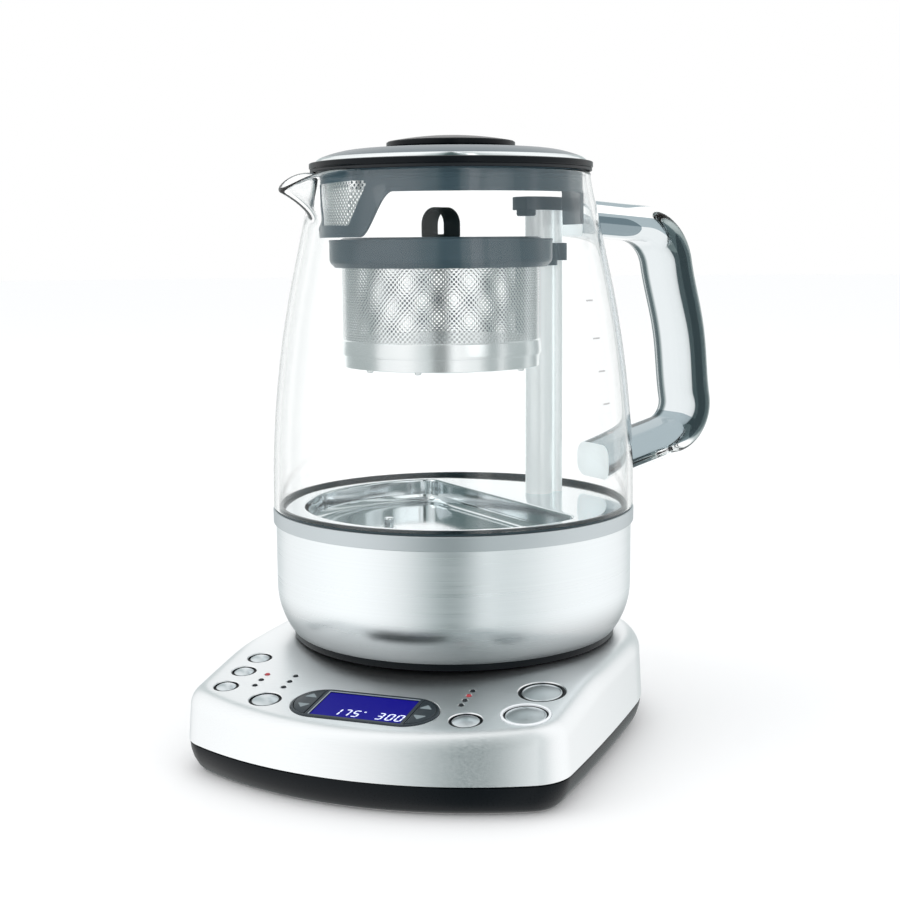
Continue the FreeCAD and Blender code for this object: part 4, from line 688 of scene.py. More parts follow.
FINISHES = {
    Slot.BRUSHED_STEEL: Finish((0.90, 0.925, 0.935), 0.34, 1.0, grain=BRUSHED_ALONG_X),
    # painted shade: the cup's colour darkens from 66 mm down to 46 mm, to 0.42 of itself
    Slot.CUP_STEEL: Finish((0.88, 0.925, 0.94), 0.31, 1.0, anisotropic=0.5, painted_shade=(66.0, 46.0, 0.42),
                           grain=BRUSHED_ROUND),
    Slot.DOME_STEEL: Finish((0.115, 0.155, 0.18), 0.30, 1.0, grain=BRUSHED_ROUND),
    Slot.BAND_GREY: Finish((0.58, 0.63, 0.65), 0.42, 1.0, grain=SATIN),
    Slot.CLEAR_GLASS: Finish((0.992, 0.999, 0.998), 0.0, transmission=1.0, ior=1.47, grain=BARE),
    Slot.BLACK_PLASTIC: Finish((0.004, 0.006, 0.008), 0.30, specular=0.15, grain=MOULDED),
    # painted light: the grey plastic glows, which lightens it where it stands inside the glass
    Slot.GREY_PLASTIC: Finish((0.056, 0.094, 0.117), 0.32, specular=0.35, glow=0.38, grain=BARE),
    Slot.INNER_PLASTIC: Finish((0.030, 0.033, 0.036), 0.45, grain=MOULDED),
    Slot.RUBBER: Finish((0.008, 0.011, 0.014), 0.42, specular=0.35, grain=MOULDED),
    Slot.SEAL: Finish((0.018, 0.042, 0.052), 0.35, grain=MOULDED),
    # painted light: the steel mesh glows a little, which makes it look whiter
    Slot.MESH_STEEL: Finish((0.93, 0.95, 0.955), 0.2, 0.9, glow=0.1, grain=BARE),
    Slot.FLOOR_STEEL: Finish((0.76, 0.80, 0.815), 0.09, 1.0, grain=BARE),
    Slot.KEY_SILVER: Finish((0.72, 0.77, 0.79), 0.31, 1.0, grain=BARE),
    Slot.RING_WHITE: Finish((0.92, 0.95, 0.97), 0.3, coat=0.4, grain=BARE),
    Slot.BEZEL: Finish((0.022, 0.032, 0.040), 0.32, specular=0.4, grain=MOULDED),
    Slot.DISPLAY: Finish((0.003, 0.002, 0.130), 0.35, specular=0.05, glow=0.9, grain=BARE),
    Slot.LAMP: Finish((0.012, 0.016, 0.020), 0.2, specular=0.3, grain=BARE),
    Slot.BOARD: Finish((0.012, 0.095, 0.045), 0.40, coat=0.3, grain=MOULDED),
    Slot.COPPER: Finish((0.60, 0.33, 0.22), 0.30, 1.0, grain=SATIN),
    Slot.BRASS: Finish((0.72, 0.55, 0.26), 0.25, 1.0, grain=SATIN),
    Slot.ZINC: Finish((0.62, 0.64, 0.65), 0.33, 1.0, grain=SATIN),
    Slot.NYLON: Finish((0.78, 0.78, 0.74), 0.42, grain=SATIN),
    Slot.MAGNET: Finish((0.55, 0.55, 0.54), 0.2, 1.0, grain=SATIN),
}
LAMP_LIT = Finish((0.36, 0.035, 0.045), 0.3, glow=0.2, grain=BARE)
DIGIT_WHITE = Finish((0.70, 0.75, 0.95), 0.4, glow=0.45, grain=BARE)
MARK_GREY = Finish((0.24, 0.29, 0.31), 0.45, grain=BARE)
# painted highlight: light grey for lines along the screen's edges
SCREEN_EDGE_PAINTED_HIGHLIGHT = Finish((0.34, 0.39, 0.45), 0.3, grain=BARE)
POLISHED = Finish((0.86, 0.90, 0.91), 0.10, 1.0, grain=BARE)
# painted light: the post's steel glows, which lightens it inside the glass
POST_STEEL_PAINTED_LIGHT = Finish((0.92, 0.965, 0.97), 0.26, 0.15, glow=0.36, grain=BARE)
# painted shade for the inner side of the basket's mesh
MESH_SHADE = Finish((0.24, 0.275, 0.295), 0.4, 1.0, grain=BARE)
# painted light: the handle's end faces glow pale
JOINT_PAINTED_LIGHT = Finish((0.80, 0.85, 0.86), 0.7, specular=0.0, glow=0.75, grain=BARE)
BAR_CLEAR = Finish((0.97, 0.99, 0.99), 0.0, transmission=1.0, ior=1.24, grain=BARE)
# painted reflections: glass tinted pale and slate for the handle's faces
BAR_PAINTED_PALE_REFLECTION = Finish((0.50, 0.55, 0.57), 0.0, transmission=1.0, ior=1.24, grain=BARE)
BAR_PAINTED_DARK_REFLECTION = Finish((0.115, 0.165, 0.19), 0.0, transmission=1.0, ior=1.24, grain=BARE)
# painted light: bright steel that glows a little, for the basket's band and tray
BAND_PAINTED_LIGHT = Finish((0.95, 0.97, 0.975), 0.22, 0.8, glow=0.12, grain=BARE)
KEY_CENTRE = Finish((0.60, 0.645, 0.66), 0.34, 1.0, grain=BARE)
TICK_GREY = Finish((0.50, 0.50, 0.50), 0.5, grain=BARE)


# ---------------------------------------------------------------------------------------------- base class


@dataclass
class SubAssembly:
    """What every sub-assembly shares.

    Attributes:
        nodes: the frame's nodes by name.
        materials: the finished materials by slot.
    """

    nodes: dict
    materials: dict

    def take(self, piece: Object, body: Body, slot: Slot, *nodes: str,
             finish: Material | None = None) -> Object:
        """Dresses a piece and takes it into the machine.

        Args:
            piece: the finished mesh.
            body: the body that it rides on.
            slot: the slot of its finish.
            nodes: the frame's nodes that it stands for.
            finish: a material other than the slot's own, or None.

        Returns:
            The piece.
        """
        piece.data.materials.clear()
        piece.data.materials.append(finish or self.materials[slot])
        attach(piece, body.value)
        if nodes:
            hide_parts(*nodes)
        LOG.info("%s rides on %s, %d faces", piece.name, body.value, len(piece.data.polygons))
        return piece


# ---------------------------------------------------------------------------------------------- power base


@dataclass
class Panel:
    """The sloping control panel: a plane that tilts down towards the front, with its own x, v and w.

    Attributes:
        hinge_y: where v is zero, along y.
        hinge_z: the panel's height there.
        tilt: slope in degrees.
        deck: height of the flat deck behind.
        blend: radius of the bend between deck and panel.
    """

    hinge_y: float = -62.0
    hinge_z: float = 40.5
    tilt: float = 7.0
    deck: float = 41.5
    blend: float = 160.0

    def place(self, points: np.ndarray) -> np.ndarray:
        """Puts local points on the panel.

        Args:
            points: (x, v, w): v climbs the slope and w stands out of it.

        Returns:
            The points in the machine's frame.
        """
        slope = radians(self.tilt)
        x, v, w = points[..., 0], points[..., 1], points[..., 2]
        return np.stack((x, self.hinge_y + v * cos(slope) - w * sin(slope),
                         self.hinge_z + v * sin(slope) + w * cos(slope)), -1)

    def at(self, x: float, v: float) -> Callable:
        """A function that places points drawn about (0, 0) at (x, v) on the panel."""
        return lambda points: self.place(points + np.array((x, v, 0.0)))

    def bend(self) -> tuple[float, float]:
        """Where the bend lies along y.

        Returns:
            Its start at the deck and its end at the panel.
        """
        slope = radians(self.tilt)
        corner = self.hinge_y + (self.deck - self.hinge_z) / tan(slope)
        reach = self.blend * tan(slope / 2)
        return corner + reach, corner - reach * cos(slope)

    def height(self, y: np.ndarray) -> np.ndarray:
        """The height of the cover's top: flat deck, then an arc of the bend's radius, then the tilted plane.

        Args:
            y: places from front to back.

        Returns:
            The heights there.
        """
        start, end = self.bend()
        drop = np.clip(start - y, 0, start - end)
        curve = self.deck - (self.blend - np.sqrt(self.blend**2 - drop**2))
        plane = self.hinge_z + (y - self.hinge_y) * tan(radians(self.tilt))
        return np.where(y < end, plane, curve)

    def slope(self, y: np.ndarray) -> np.ndarray:
        """How steeply the top rises along +y.

        Args:
            y: places from front to back.

        Returns:
            The slopes there.
        """
        start, end = self.bend()
        drop = np.clip(start - y, 0, start - end)
        return np.where(y < end, tan(radians(self.tilt)), drop / np.sqrt(self.blend**2 - drop**2))


@dataclass
class Plan:
    """The base's outline: a round back about the jug's axis, bowed sides, round corners and a bowed front.

    Attributes:
        half: half the width, the back's radius too.
        front: how far the front reaches towards -y.
        front_radius: radius of the bowed front.
        side_radius: radius of the bowed sides.
        corner: radius of the front corners.
    """

    half: float
    front: float
    front_radius: float = 157.0
    side_radius: float = 1400.0
    corner: float = 19.0

    def points(self) -> tuple[np.ndarray, np.ndarray]:
        """The outline and its outward normals.

        Every stretch is an arc, centre + radius (cos a, sin a), and meets the next one in the same direction.
        The corner's centre is corner radius inside both the side's circle and the front's.

        Returns:
            Points and unit normals, counter-clockwise from the right-hand side.
        """
        side_x = self.half - self.side_radius
        front_y = self.front_radius - self.front
        reach_side, reach_front = self.side_radius - self.corner, self.front_radius - self.corner
        span = hypot(side_x, front_y)
        foot = (reach_side**2 - reach_front**2 + span**2) / (2 * span)
        height = sqrt(reach_side**2 - foot**2)
        along = np.array((-side_x, front_y)) / span
        corner = np.array((side_x, 0)) + along * foot + np.array((along[1], -along[0])) * height
        to_side = np.degrees(atan2(corner[1], corner[0] - side_x))
        to_front = np.degrees(atan2(corner[1] - front_y, corner[0]))
        left = np.array((-corner[0], corner[1]))
        arcs = [((0.0, 0.0), self.half, 0.0, 180.0, 120),
                ((-side_x, 0.0), self.side_radius, 180.0, 180.0 - to_side, 28),
                (left, self.corner, 180.0 - to_side, 180.0 - to_front, 26),
                ((0.0, front_y), self.front_radius, 180.0 - to_front, 360.0 + to_front, 60),
                (corner, self.corner, to_front, to_side, 26),
                ((side_x, 0.0), self.side_radius, to_side, 0.0, 28)]
        points = np.vstack([arc(c, r, a, b, n + 1)[:-1] for c, r, a, b, n in arcs])
        normals = np.vstack([arc((0, 0), 1.0, a, b, n + 1)[:-1] for _, _, a, b, n in arcs])
        return points, normals


@dataclass
class Key:
    """One round push key.

    Attributes:
        body: the body it moves with.
        x: place across the panel.
        v: place up the panel.
        radius: the key's radius.
        dome: radius of its silver dome.
        ring: width of the ring round it.
    """

    body: Body
    x: float
    v: float
    radius: float
    dome: float
    ring: float = 0.0


@dataclass
class PowerBase(SubAssembly):
    """The power base: steel cover, foot, keys, lamps and display."""

    panel: Panel = field(default_factory=Panel)
    roll: float = 8.0
    wall: float = 1.2
    key_gap: float = 0.45
    key_proud: float = 0.9
    key_crown: float = 1.5
    ring_proud: float = 0.4
    chamfer: float = 0.35
    lean_top: float = 0.7
    lean_foot: float = 0.35
    pill_half: float = 31.5
    pill_radius: float = 13.2
    pill_v: float = -45.3
    pill_proud: float = 0.4
    window_half: float = 20.8
    screen_left: float = -19.4
    screen_right: float = 19.7
    arrow_x: float = 25.1
    bezel_rim: float = 1.0
    rocker_gap: float = 0.35
    rocker_proud: float = 0.7
    lamp_radius: float = 1.1
    bright_rim: float = 0.85
    neck_hole: float = 17.2
    centre_y: float = -22.0

    def keys(self) -> list:
        """The seven keys with their places.

        Returns:
            The keys.
        """
        return [Key(Body.HOT_WATER, 65.0, -13.7, 8.6, 8.3, 0.75), Key(Body.TEA, 65.0, -36.3, 8.6, 8.3, 1.1),
                Key(Body.AUTO_START, -66.0, -7.1, 4.9, 4.15), Key(Body.KEEP_WARM, -66.0, -22.2, 4.9, 4.15),
                Key(Body.BASKET_KEY, -66.0, -38.5, 4.9, 4.15), Key(Body.TEA_TYPE, -43.6, -46.8, 6.3, 5.5),
                Key(Body.STRENGTH, 43.6, -46.8, 6.3, 5.5)]

    def lamp_places(self) -> list:
        """The ten lamps.

        Returns:
            Each lamp's place (x, v), and whether it is lit.
        """
        left = [(x, v - 5.9 * row, x < -50 and row == 0) for x, v in ((-54.2, -23.3), (-41.4, -22.2))
                for row in range(3)]
        return left + [(37.2, -19.6 - 4.75 * row, row == 1) for row in range(4)]

    def pill(self, inset: float = 0.0) -> np.ndarray:
        """The display's outline: a half circle at each end of two straight runs.

        Args:
            inset: how far inwards it is drawn.

        Returns:
            The outline's points.
        """
        reach, radius = self.pill_half - self.pill_radius, self.pill_radius - inset
        return np.vstack([arc((side * reach, self.pill_v), radius, start, start + 180, 40)
                          for side, start in ((1, -90), (-1, 90))])

    def on_panel(self, name: str, at: tuple, profile: np.ndarray, closed: bool = False,
                 segments: int = 96) -> Object:
        """A body of revolution that stands on the panel.

        Args:
            name: the piece's name.
            at: its place (x, v).
            profile: points (radius, height above the panel).
            closed: whether the profile's last point joins its first.
            segments: how many steps a turn has.

        Returns:
            The object.
        """
        return skin(name, self.panel.at(*at)(turned(profile, segments=segments)), True, closed, sharp=42.0)

    def build(self) -> None:
        """Builds and dresses every piece of the base."""
        self.cover()
        self.foot()
        for key in self.keys():
            self.key(key)
        self.wells()
        self.tea_ring()
        self.lamps()
        self.display()
        self.connector()

    def cover(self) -> None:
        """The brushed steel cover: wall, rolled edge and top, with holes for what stands in it.

        A column of the grid runs up the wall, which leans in a little, round the roll and over the top. The roll
        is an arc of radius R from the wall to the top's own slope b there: inset R(1 - cos a), height
        c + R sin a, with a up to 90 degrees - b and c = top - R cos b. The top shrinks towards a point:
        centre + share (edge - centre).
        """
        low, high = box_mm("base_cover")
        points, normals = Plan(high[0], -low[1]).points()
        edge = points - normals * self.roll
        rise = np.arctan(-normals[:, 1] * self.panel.slope(edge[:, 1]))
        turn = np.linspace(0, 1, 13)[:, None] * (pi / 2 - rise)
        inset = self.lean_top + self.roll * (1 - np.cos(turn))
        middle = self.panel.height((points - normals * inset[-1][:, None])[:, 1]) - self.roll * np.cos(rise)
        bent = middle + self.roll * np.sin(turn)
        climb = np.linspace(0, 1, 5)[:-1, None]
        wall = low[2] + (bent[0] - low[2]) * climb
        lean = self.lean_top * climb - self.lean_foot * (1 - climb)
        heights = np.vstack((wall, bent))
        insets = np.vstack((np.broadcast_to(lean, wall.shape), inset))
        sides = points - normals * insets[..., None]
        share = np.linspace(1, 0, 50)[1:, None, None]
        centre = np.array((0.0, self.centre_y))
        top = centre + share * (sides[-1] - centre)
        grid = np.vstack((np.dstack((sides, heights)), np.dstack((top, self.panel.height(top[..., 1])))))
        piece = skin("cover", grid, False, True)
        modified(piece, "SOLIDIFY", 40.0, thickness=self.wall * MM, offset=-1.0)
        carved(piece, self.hole_cutters(), 30.0)
        self.take(piece, Body.BASE, Slot.BRUSHED_STEEL, "base_cover")

    def hole_cutters(self) -> list:
        """What is cut out of the cover: each hole goes right through and ends in a small chamfer.

        Returns:
            The cutters.
        """
        holes = [((key.x, key.v), key.radius + self.key_gap + key.ring) for key in self.keys()]
        holes += [((x, v), self.lamp_radius + 0.03) for x, v, _ in self.lamp_places()]
        cutters = []
        for number, (at, radius) in enumerate(holes):
            mouth = radius + self.chamfer * 1.2
            profile = np.array([(0.0, -4.0), (radius, -4.0), (radius, -self.chamfer),
                                (mouth, self.chamfer * 0.2), (mouth, 3.0), (0.0, 3.0)])
            cutters.append(self.on_panel("hole_%d" % number, at, profile, segments=72))
        flare = [(0.0, -4.0), (0.0, -self.chamfer), (-self.chamfer, 0.0), (-self.chamfer, 3.0)]
        cutters.append(slab("pill_hole", self.pill(-0.1), flare, self.panel.place))
        neck = rectangle(0, self.neck_hole, 30.0, 50.0)
        return [*cutters, lathe("neck_hole", neck, closed=False, segments=96)]

    def foot(self) -> None:
        """The black foot: a tray whose wall leans in towards the table, with a soft lower edge."""
        low, high = box_mm("base_cover")
        points, normals = Plan(high[0], -low[1]).points()
        top = low[2] - 0.05
        outside = [(1.2, top), (1.2, top - 0.5), (0.1, top - 0.75), (0.0, top - 1.2), (0.3, 9.6), (1.3, 6.2),
                   (3.1, 2.9), (4.8, 1.1), (6.4, 0.15), (8.0, 0.0), (10.0, 0.0), (10.6, 0.3), (10.8, 1.3),
                   (12.0, 1.6)]
        inside = [(3.4, top), (3.6, 9.0), (8.0, 4.0)]
        outer, inner = (levelled([(points - normals * inset, height) for inset, height in rows])
                        for rows in (outside, inside))

        def closing(ring: np.ndarray, *shares: float) -> np.ndarray:
            """Copies of a ring, each drawn in towards the base's middle to its share of the way out."""
            centre = np.array((0.0, self.centre_y, ring[0, 2]))
            return centre + (ring - centre) * np.array(shares)[:, None, None]

        under, over = closing(outer[-1], 0.0, 0.3, 0.6), closing(inner[-1], 0.5, 0.0)
        grid = np.concatenate((under, outer[::-1], inner, over))
        self.take(skin("foot", grid, False, True, sharp=50.0), Body.BASE, Slot.BLACK_PLASTIC, "base_foot")

    def key(self, key: Key) -> None:
        """One key: a black shoulder sunk in its well and a silver dome; the large ones have a bright rim.

        The dome's height falls as crown (1 - (r / rim)^2).

        Args:
            key: the key's sizes.
        """
        name, at, large = key.body.value, (key.x, key.v), key.ring > 0
        shoulder = self.key_proud - self.key_crown
        ledge = shoulder - 0.15
        step = rounded([(0.0, -4.5, 0), (key.radius, -4.5, 0), (key.radius, ledge, 0.2),
                        (key.dome + 0.05, ledge, 0), (key.dome + 0.05, shoulder - 0.6, 0),
                        (0.0, shoulder - 0.6, 0)], 4)
        self.take(self.on_panel(name + "_collar", at, step), key.body, Slot.BLACK_PLASTIC, name)
        rim = key.dome - (self.bright_rim if large else 0.0)
        reach = np.linspace(rim, 0, 16)
        dome = np.column_stack((reach, shoulder + 0.2 + (self.key_crown - 0.2) * (1 - (reach / rim) ** 2)))
        profile = [[(0.0, shoulder - 0.7), (key.dome, shoulder - 0.7)],
                   arc((key.dome - 0.35, shoulder), 0.35, 0, 60, 5)]
        if large:
            profile.append([(rim + 0.3, shoulder + 0.42), (rim + 0.1, shoulder + 0.25),
                            (rim + 0.05, shoulder - 0.1), (0.0, shoulder - 0.1)])
            centre = np.vstack(([(0.0, shoulder - 0.3), (rim, shoulder - 0.3)], dome))
            self.take(self.on_panel(name + "_dome", at, centre), key.body, Slot.KEY_SILVER,
                      finish=KEY_CENTRE.material(name + "_grey"))
        else:
            profile.append(dome)
        self.take(self.on_panel(name + "_cap", at, np.vstack(profile)), key.body, Slot.KEY_SILVER)

    def wells(self) -> None:
        """The black wells that the keys stand in: one sleeve in each hole, just under the cover's face."""
        sleeves = []
        lip = -self.chamfer - 0.05
        for number, key in enumerate(self.keys()):
            inner = key.radius + 0.1
            outer = key.radius + self.key_gap + (key.ring if key.body is Body.HOT_WATER else 0.0) - 0.01
            tube = rectangle(inner, outer, -3.4, lip, 0, 0, 0.05, 0.1, steps=4)
            sleeves.append(self.on_panel("well_%d" % number, (key.x, key.v), tube, True))
        self.take(joined("key_wells", sleeves), Body.BASE, Slot.BLACK_PLASTIC)

    def tea_ring(self) -> None:
        """The bright ring round the tea key."""
        key = next(k for k in self.keys() if k.body is Body.TEA)
        inner, top = key.radius + self.key_gap, self.ring_proud
        outer = inner + key.ring - 0.05
        profile = rectangle(inner, outer, -2.0, top, 0, 0, 0.3, 0.3)
        self.take(self.on_panel("tea_key_ring", (key.x, key.v), profile, True), Body.BASE, Slot.RING_WHITE,
                  "start_ring")

    def lamps(self) -> None:
        """Ten small domed lenses: height proud sqrt(1 - (r / radius)^2). Two of them are lit."""
        radius = np.linspace(self.lamp_radius, 0, 7)
        dome = np.column_stack((radius, 0.1 + 0.35 * np.sqrt(1 - (radius / self.lamp_radius) ** 2)))
        profile = np.vstack(([(0.0, -2.0), (self.lamp_radius, -2.0)], dome))
        groups = {False: [], True: []}
        for number, (x, v, lit) in enumerate(self.lamp_places()):
            groups[lit].append(self.on_panel("lens_%d" % number, (x, v), profile, segments=28))
        self.take(joined("lamp_lenses", groups[False]), Body.BASE, Slot.LAMP, "indicator_lamps")
        red = LAMP_LIT.material("lamp_lit")
        self.take(joined("lit_lenses", groups[True]), Body.BASE, Slot.LAMP, finish=red)

    def display(self) -> None:
        """The display: charcoal bezel, blue screen with white digits, and a rocking key at each end."""
        place, proud = self.panel.place, self.pill_proud
        levels = [(0.0, -2.6), (0.0, proud - 0.3), (0.08, proud - 0.08), (0.3, proud)]
        bezel = slab("bezel", self.pill(0.05), levels, place)
        cuts = [slab("rocker_hole", self.rocker_outline(side, -self.rocker_gap), [(0, -2.4), (0, 2)], place)
                for side in (-1, 1)]
        low_v = self.pill_v - self.pill_radius + 2.0
        high_v = self.pill_v + self.pill_radius - 2.6
        window = rectangle(self.screen_left, self.screen_right, low_v, high_v, 0.4)
        cuts.append(slab("screen_hole", window, [(0, -0.5), (0, 2)], place))
        screen = slab("screen", window, [(0.05, -1.6), (0.05, 0.1)], place)
        self.take(carved(bezel, cuts, 30.0), Body.BASE, Slot.BEZEL, "display_window").visible_glossy = False
        self.take(screen, Body.BASE, Slot.DISPLAY, "lcd_module").visible_glossy = False
        # painted highlight: light grey lines along the screen's left and top edges
        lines = []
        for line in ((-19.95, -19.5, low_v, high_v + 0.75), (-19.5, 19.9, high_v + 0.15, high_v + 0.75)):
            lines.append(slab("screen_highlight_line", rectangle(*line), [(0, proud - 0.2), (0, proud + 0.06)], place))
        grey = SCREEN_EDGE_PAINTED_HIGHLIGHT.material("screen_edge_painted_highlight")
        self.take(joined("screen_highlight_lines", lines), Body.BASE, Slot.DISPLAY, finish=grey)
        self.rocker(-1, Body.TEMPERATURE)
        self.rocker(1, Body.TIME)
        self.digits()

    def rocker_outline(self, side: int, inset: float) -> np.ndarray:
        """One end of the pill, between its round end and the window's bar.

        Args:
            side: -1 for the left end, 1 for the right one.
            inset: how far inwards it is drawn.

        Returns:
            The outline's points.
        """
        reach = self.pill_half - self.pill_radius
        radius = self.pill_radius - self.bezel_rim - self.rocker_gap - inset
        start = self.window_half + 0.75 + inset
        rise = sqrt(max(radius**2 - (start - reach) ** 2, 0.0))
        angle = np.degrees(atan2(rise, start - reach))
        curve = arc((reach, 0.0), radius, -angle, angle, 40)
        outline = np.column_stack((curve[:, 0] * side, curve[:, 1] + self.pill_v))
        return outline if side > 0 else outline[::-1]

    def rocker(self, side: int, body: Body) -> None:
        """A rocking key with a raised arrow at its upper and lower end.

        Args:
            side: -1 for the left end of the display, 1 for the right one.
            body: the body that it rocks with.
        """
        top, place = self.rocker_proud, self.panel.place
        levels = [(0.0, -1.3), (0.0, top - 0.45), (0.13, top - 0.13), (0.45, top)]
        piece = slab(body.value + "_key", self.rocker_outline(side, 0.0), levels, place)
        self.take(piece, body, Slot.BEZEL, body.value).visible_glossy = False
        middle, arrows = side * self.arrow_x, []
        for way in (1, -1):
            foot, tip = self.pill_v + way * 3.1, self.pill_v + way * 6.8
            corners = ((middle - 2.9, foot, 0.35), (middle + 2.9, foot, 0.35), (middle, tip, 0.35))
            arrows.append(slab("arrow", rounded(corners, 4), [(0, top - 0.1), (0.1, top + 0.12)], place))
        grey = MARK_GREY.material("arrow_grey")
        self.take(joined(body.value + "_arrows", arrows), body, Slot.BEZEL, finish=grey)

    def digits(self) -> None:
        """Plain figures on the screen, each made of the bars of a seven-bar digit that its number needs."""
        place, levels, foot = self.panel.place, [(0, 0.08), (0, 0.15)], self.pill_v - 9.4
        layout = [("1", -10.9), ("7", -6.8), ("5", -2.7), ("3", 7.6), (":", 10.95), ("0", 11.9), ("0", 15.9)]
        bars = [slab("bar", shape, levels, place) for character, x in layout
                for shape in digit_bars(character, x, foot, 3.0, 6.0)]
        outer, inner = (arc((2.3, foot + 5.2), radius, 0, 360, 13)[:-1] for radius in (0.5, 0.24))
        hole = slab("hole", inner, [(0, -1), (0, 1)], place)
        bars.append(carved(slab("degree", outer, levels, place), [hole]))
        white = DIGIT_WHITE.material("digit_white")
        self.take(joined("figures", bars), Body.BASE, Slot.DISPLAY, finish=white)

    def connector(self) -> None:
        """The round cordless connector: a tower with a centre pin in a shallow moat, and its deck ring."""
        low, high = box_mm("base_connector")
        foot, top = low[2], high[2]
        tower = rectangle(8.5, 11.0, top - 9, top, 0, 0, 0.8, 0.8)
        pin = rectangle(0.0, 3.0, top - 9, top - 1, 0, 0, 0.9, 0)
        plate = rounded([(0.0, foot, 0), (high[0], foot, 0), (high[0], foot + 3, 0.4), (16.8, foot + 3, 0),
                         (16.8, 42.8, 0.5), (11.0, 42.8, 0), (11.0, top - 8, 0), (0.0, top - 8, 0)])
        parts = [lathe("tower", tower, segments=96), lathe("pin", pin, segments=64, closed=False),
                 lathe("plate", plate, segments=96, closed=False)]
        self.take(joined("connector", parts), Body.BASE, Slot.BLACK_PLASTIC, "base_connector")
        low, high = box_mm("deck_ring")
        ring = rectangle(high[0] - 14.0, high[0], low[2], high[2], 0, 0, 0.6, 0.6)
        self.take(lathe("deck_rest", ring), Body.BASE, Slot.BLACK_PLASTIC, "deck_ring")


SEGMENTS = {"0": "abcdef", "1": "bc", "3": "abgcd", "5": "afgcd", "7": "abc"}


def digit_bars(character: str, x: float, y: float, width: float, height: float, lean: float = 0.12) -> list:
    """Outlines of the bars of one figure. A bar is a long hexagon; the figure leans by lean times the height.

    Args:
        character: a digit, or a colon.
        x: left edge.
        y: lower edge.
        width: the figure's width.
        height: the figure's height.
        lean: sideways shift per unit of height.

    Returns:
        The bars' outlines.
    """
    thick = height * 0.115

    def leaning(points: np.ndarray) -> np.ndarray:
        """The points moved to the figure's place, with its lean."""
        return np.column_stack((x + points[:, 0] + lean * points[:, 1], y + points[:, 1]))

    if character == ":":
        square = np.array([(0, 0), (thick, 0), (thick, thick), (0, thick)])
        return [leaning(square + (width * 0.3, height * share)) for share in (0.25, 0.62)]
    half, middle = thick / 2, height / 2
    gap = thick * 0.12

    def bar(start: tuple, end: tuple) -> np.ndarray:
        """A hexagon that is pointed at both ends.

        Args:
            start: one end.
            end: the other.

        Returns:
            Its points.
        """
        a, b = np.array(start, float), np.array(end, float)
        along = (b - a) / np.linalg.norm(b - a)
        side = np.array((-along[1], along[0])) * half
        a, b = a + along * gap, b - along * gap
        return np.array([a, a + along * half - side, b - along * half - side, b,
                         b - along * half + side, a + along * half + side])

    left, right, low, high = half, width - half, half, height - half
    runs = {"a": ((left, high), (right, high)), "b": ((right, high), (right, middle)),
            "c": ((right, middle), (right, low)), "d": ((right, low), (left, low)),
            "e": ((left, low), (left, middle)), "f": ((left, middle), (left, high)),
            "g": ((left, middle), (right, middle))}
    return [leaning(bar(*runs[name])) for name in SEGMENTS[character]]


# ---------------------------------------------------------------------------------------------- jug


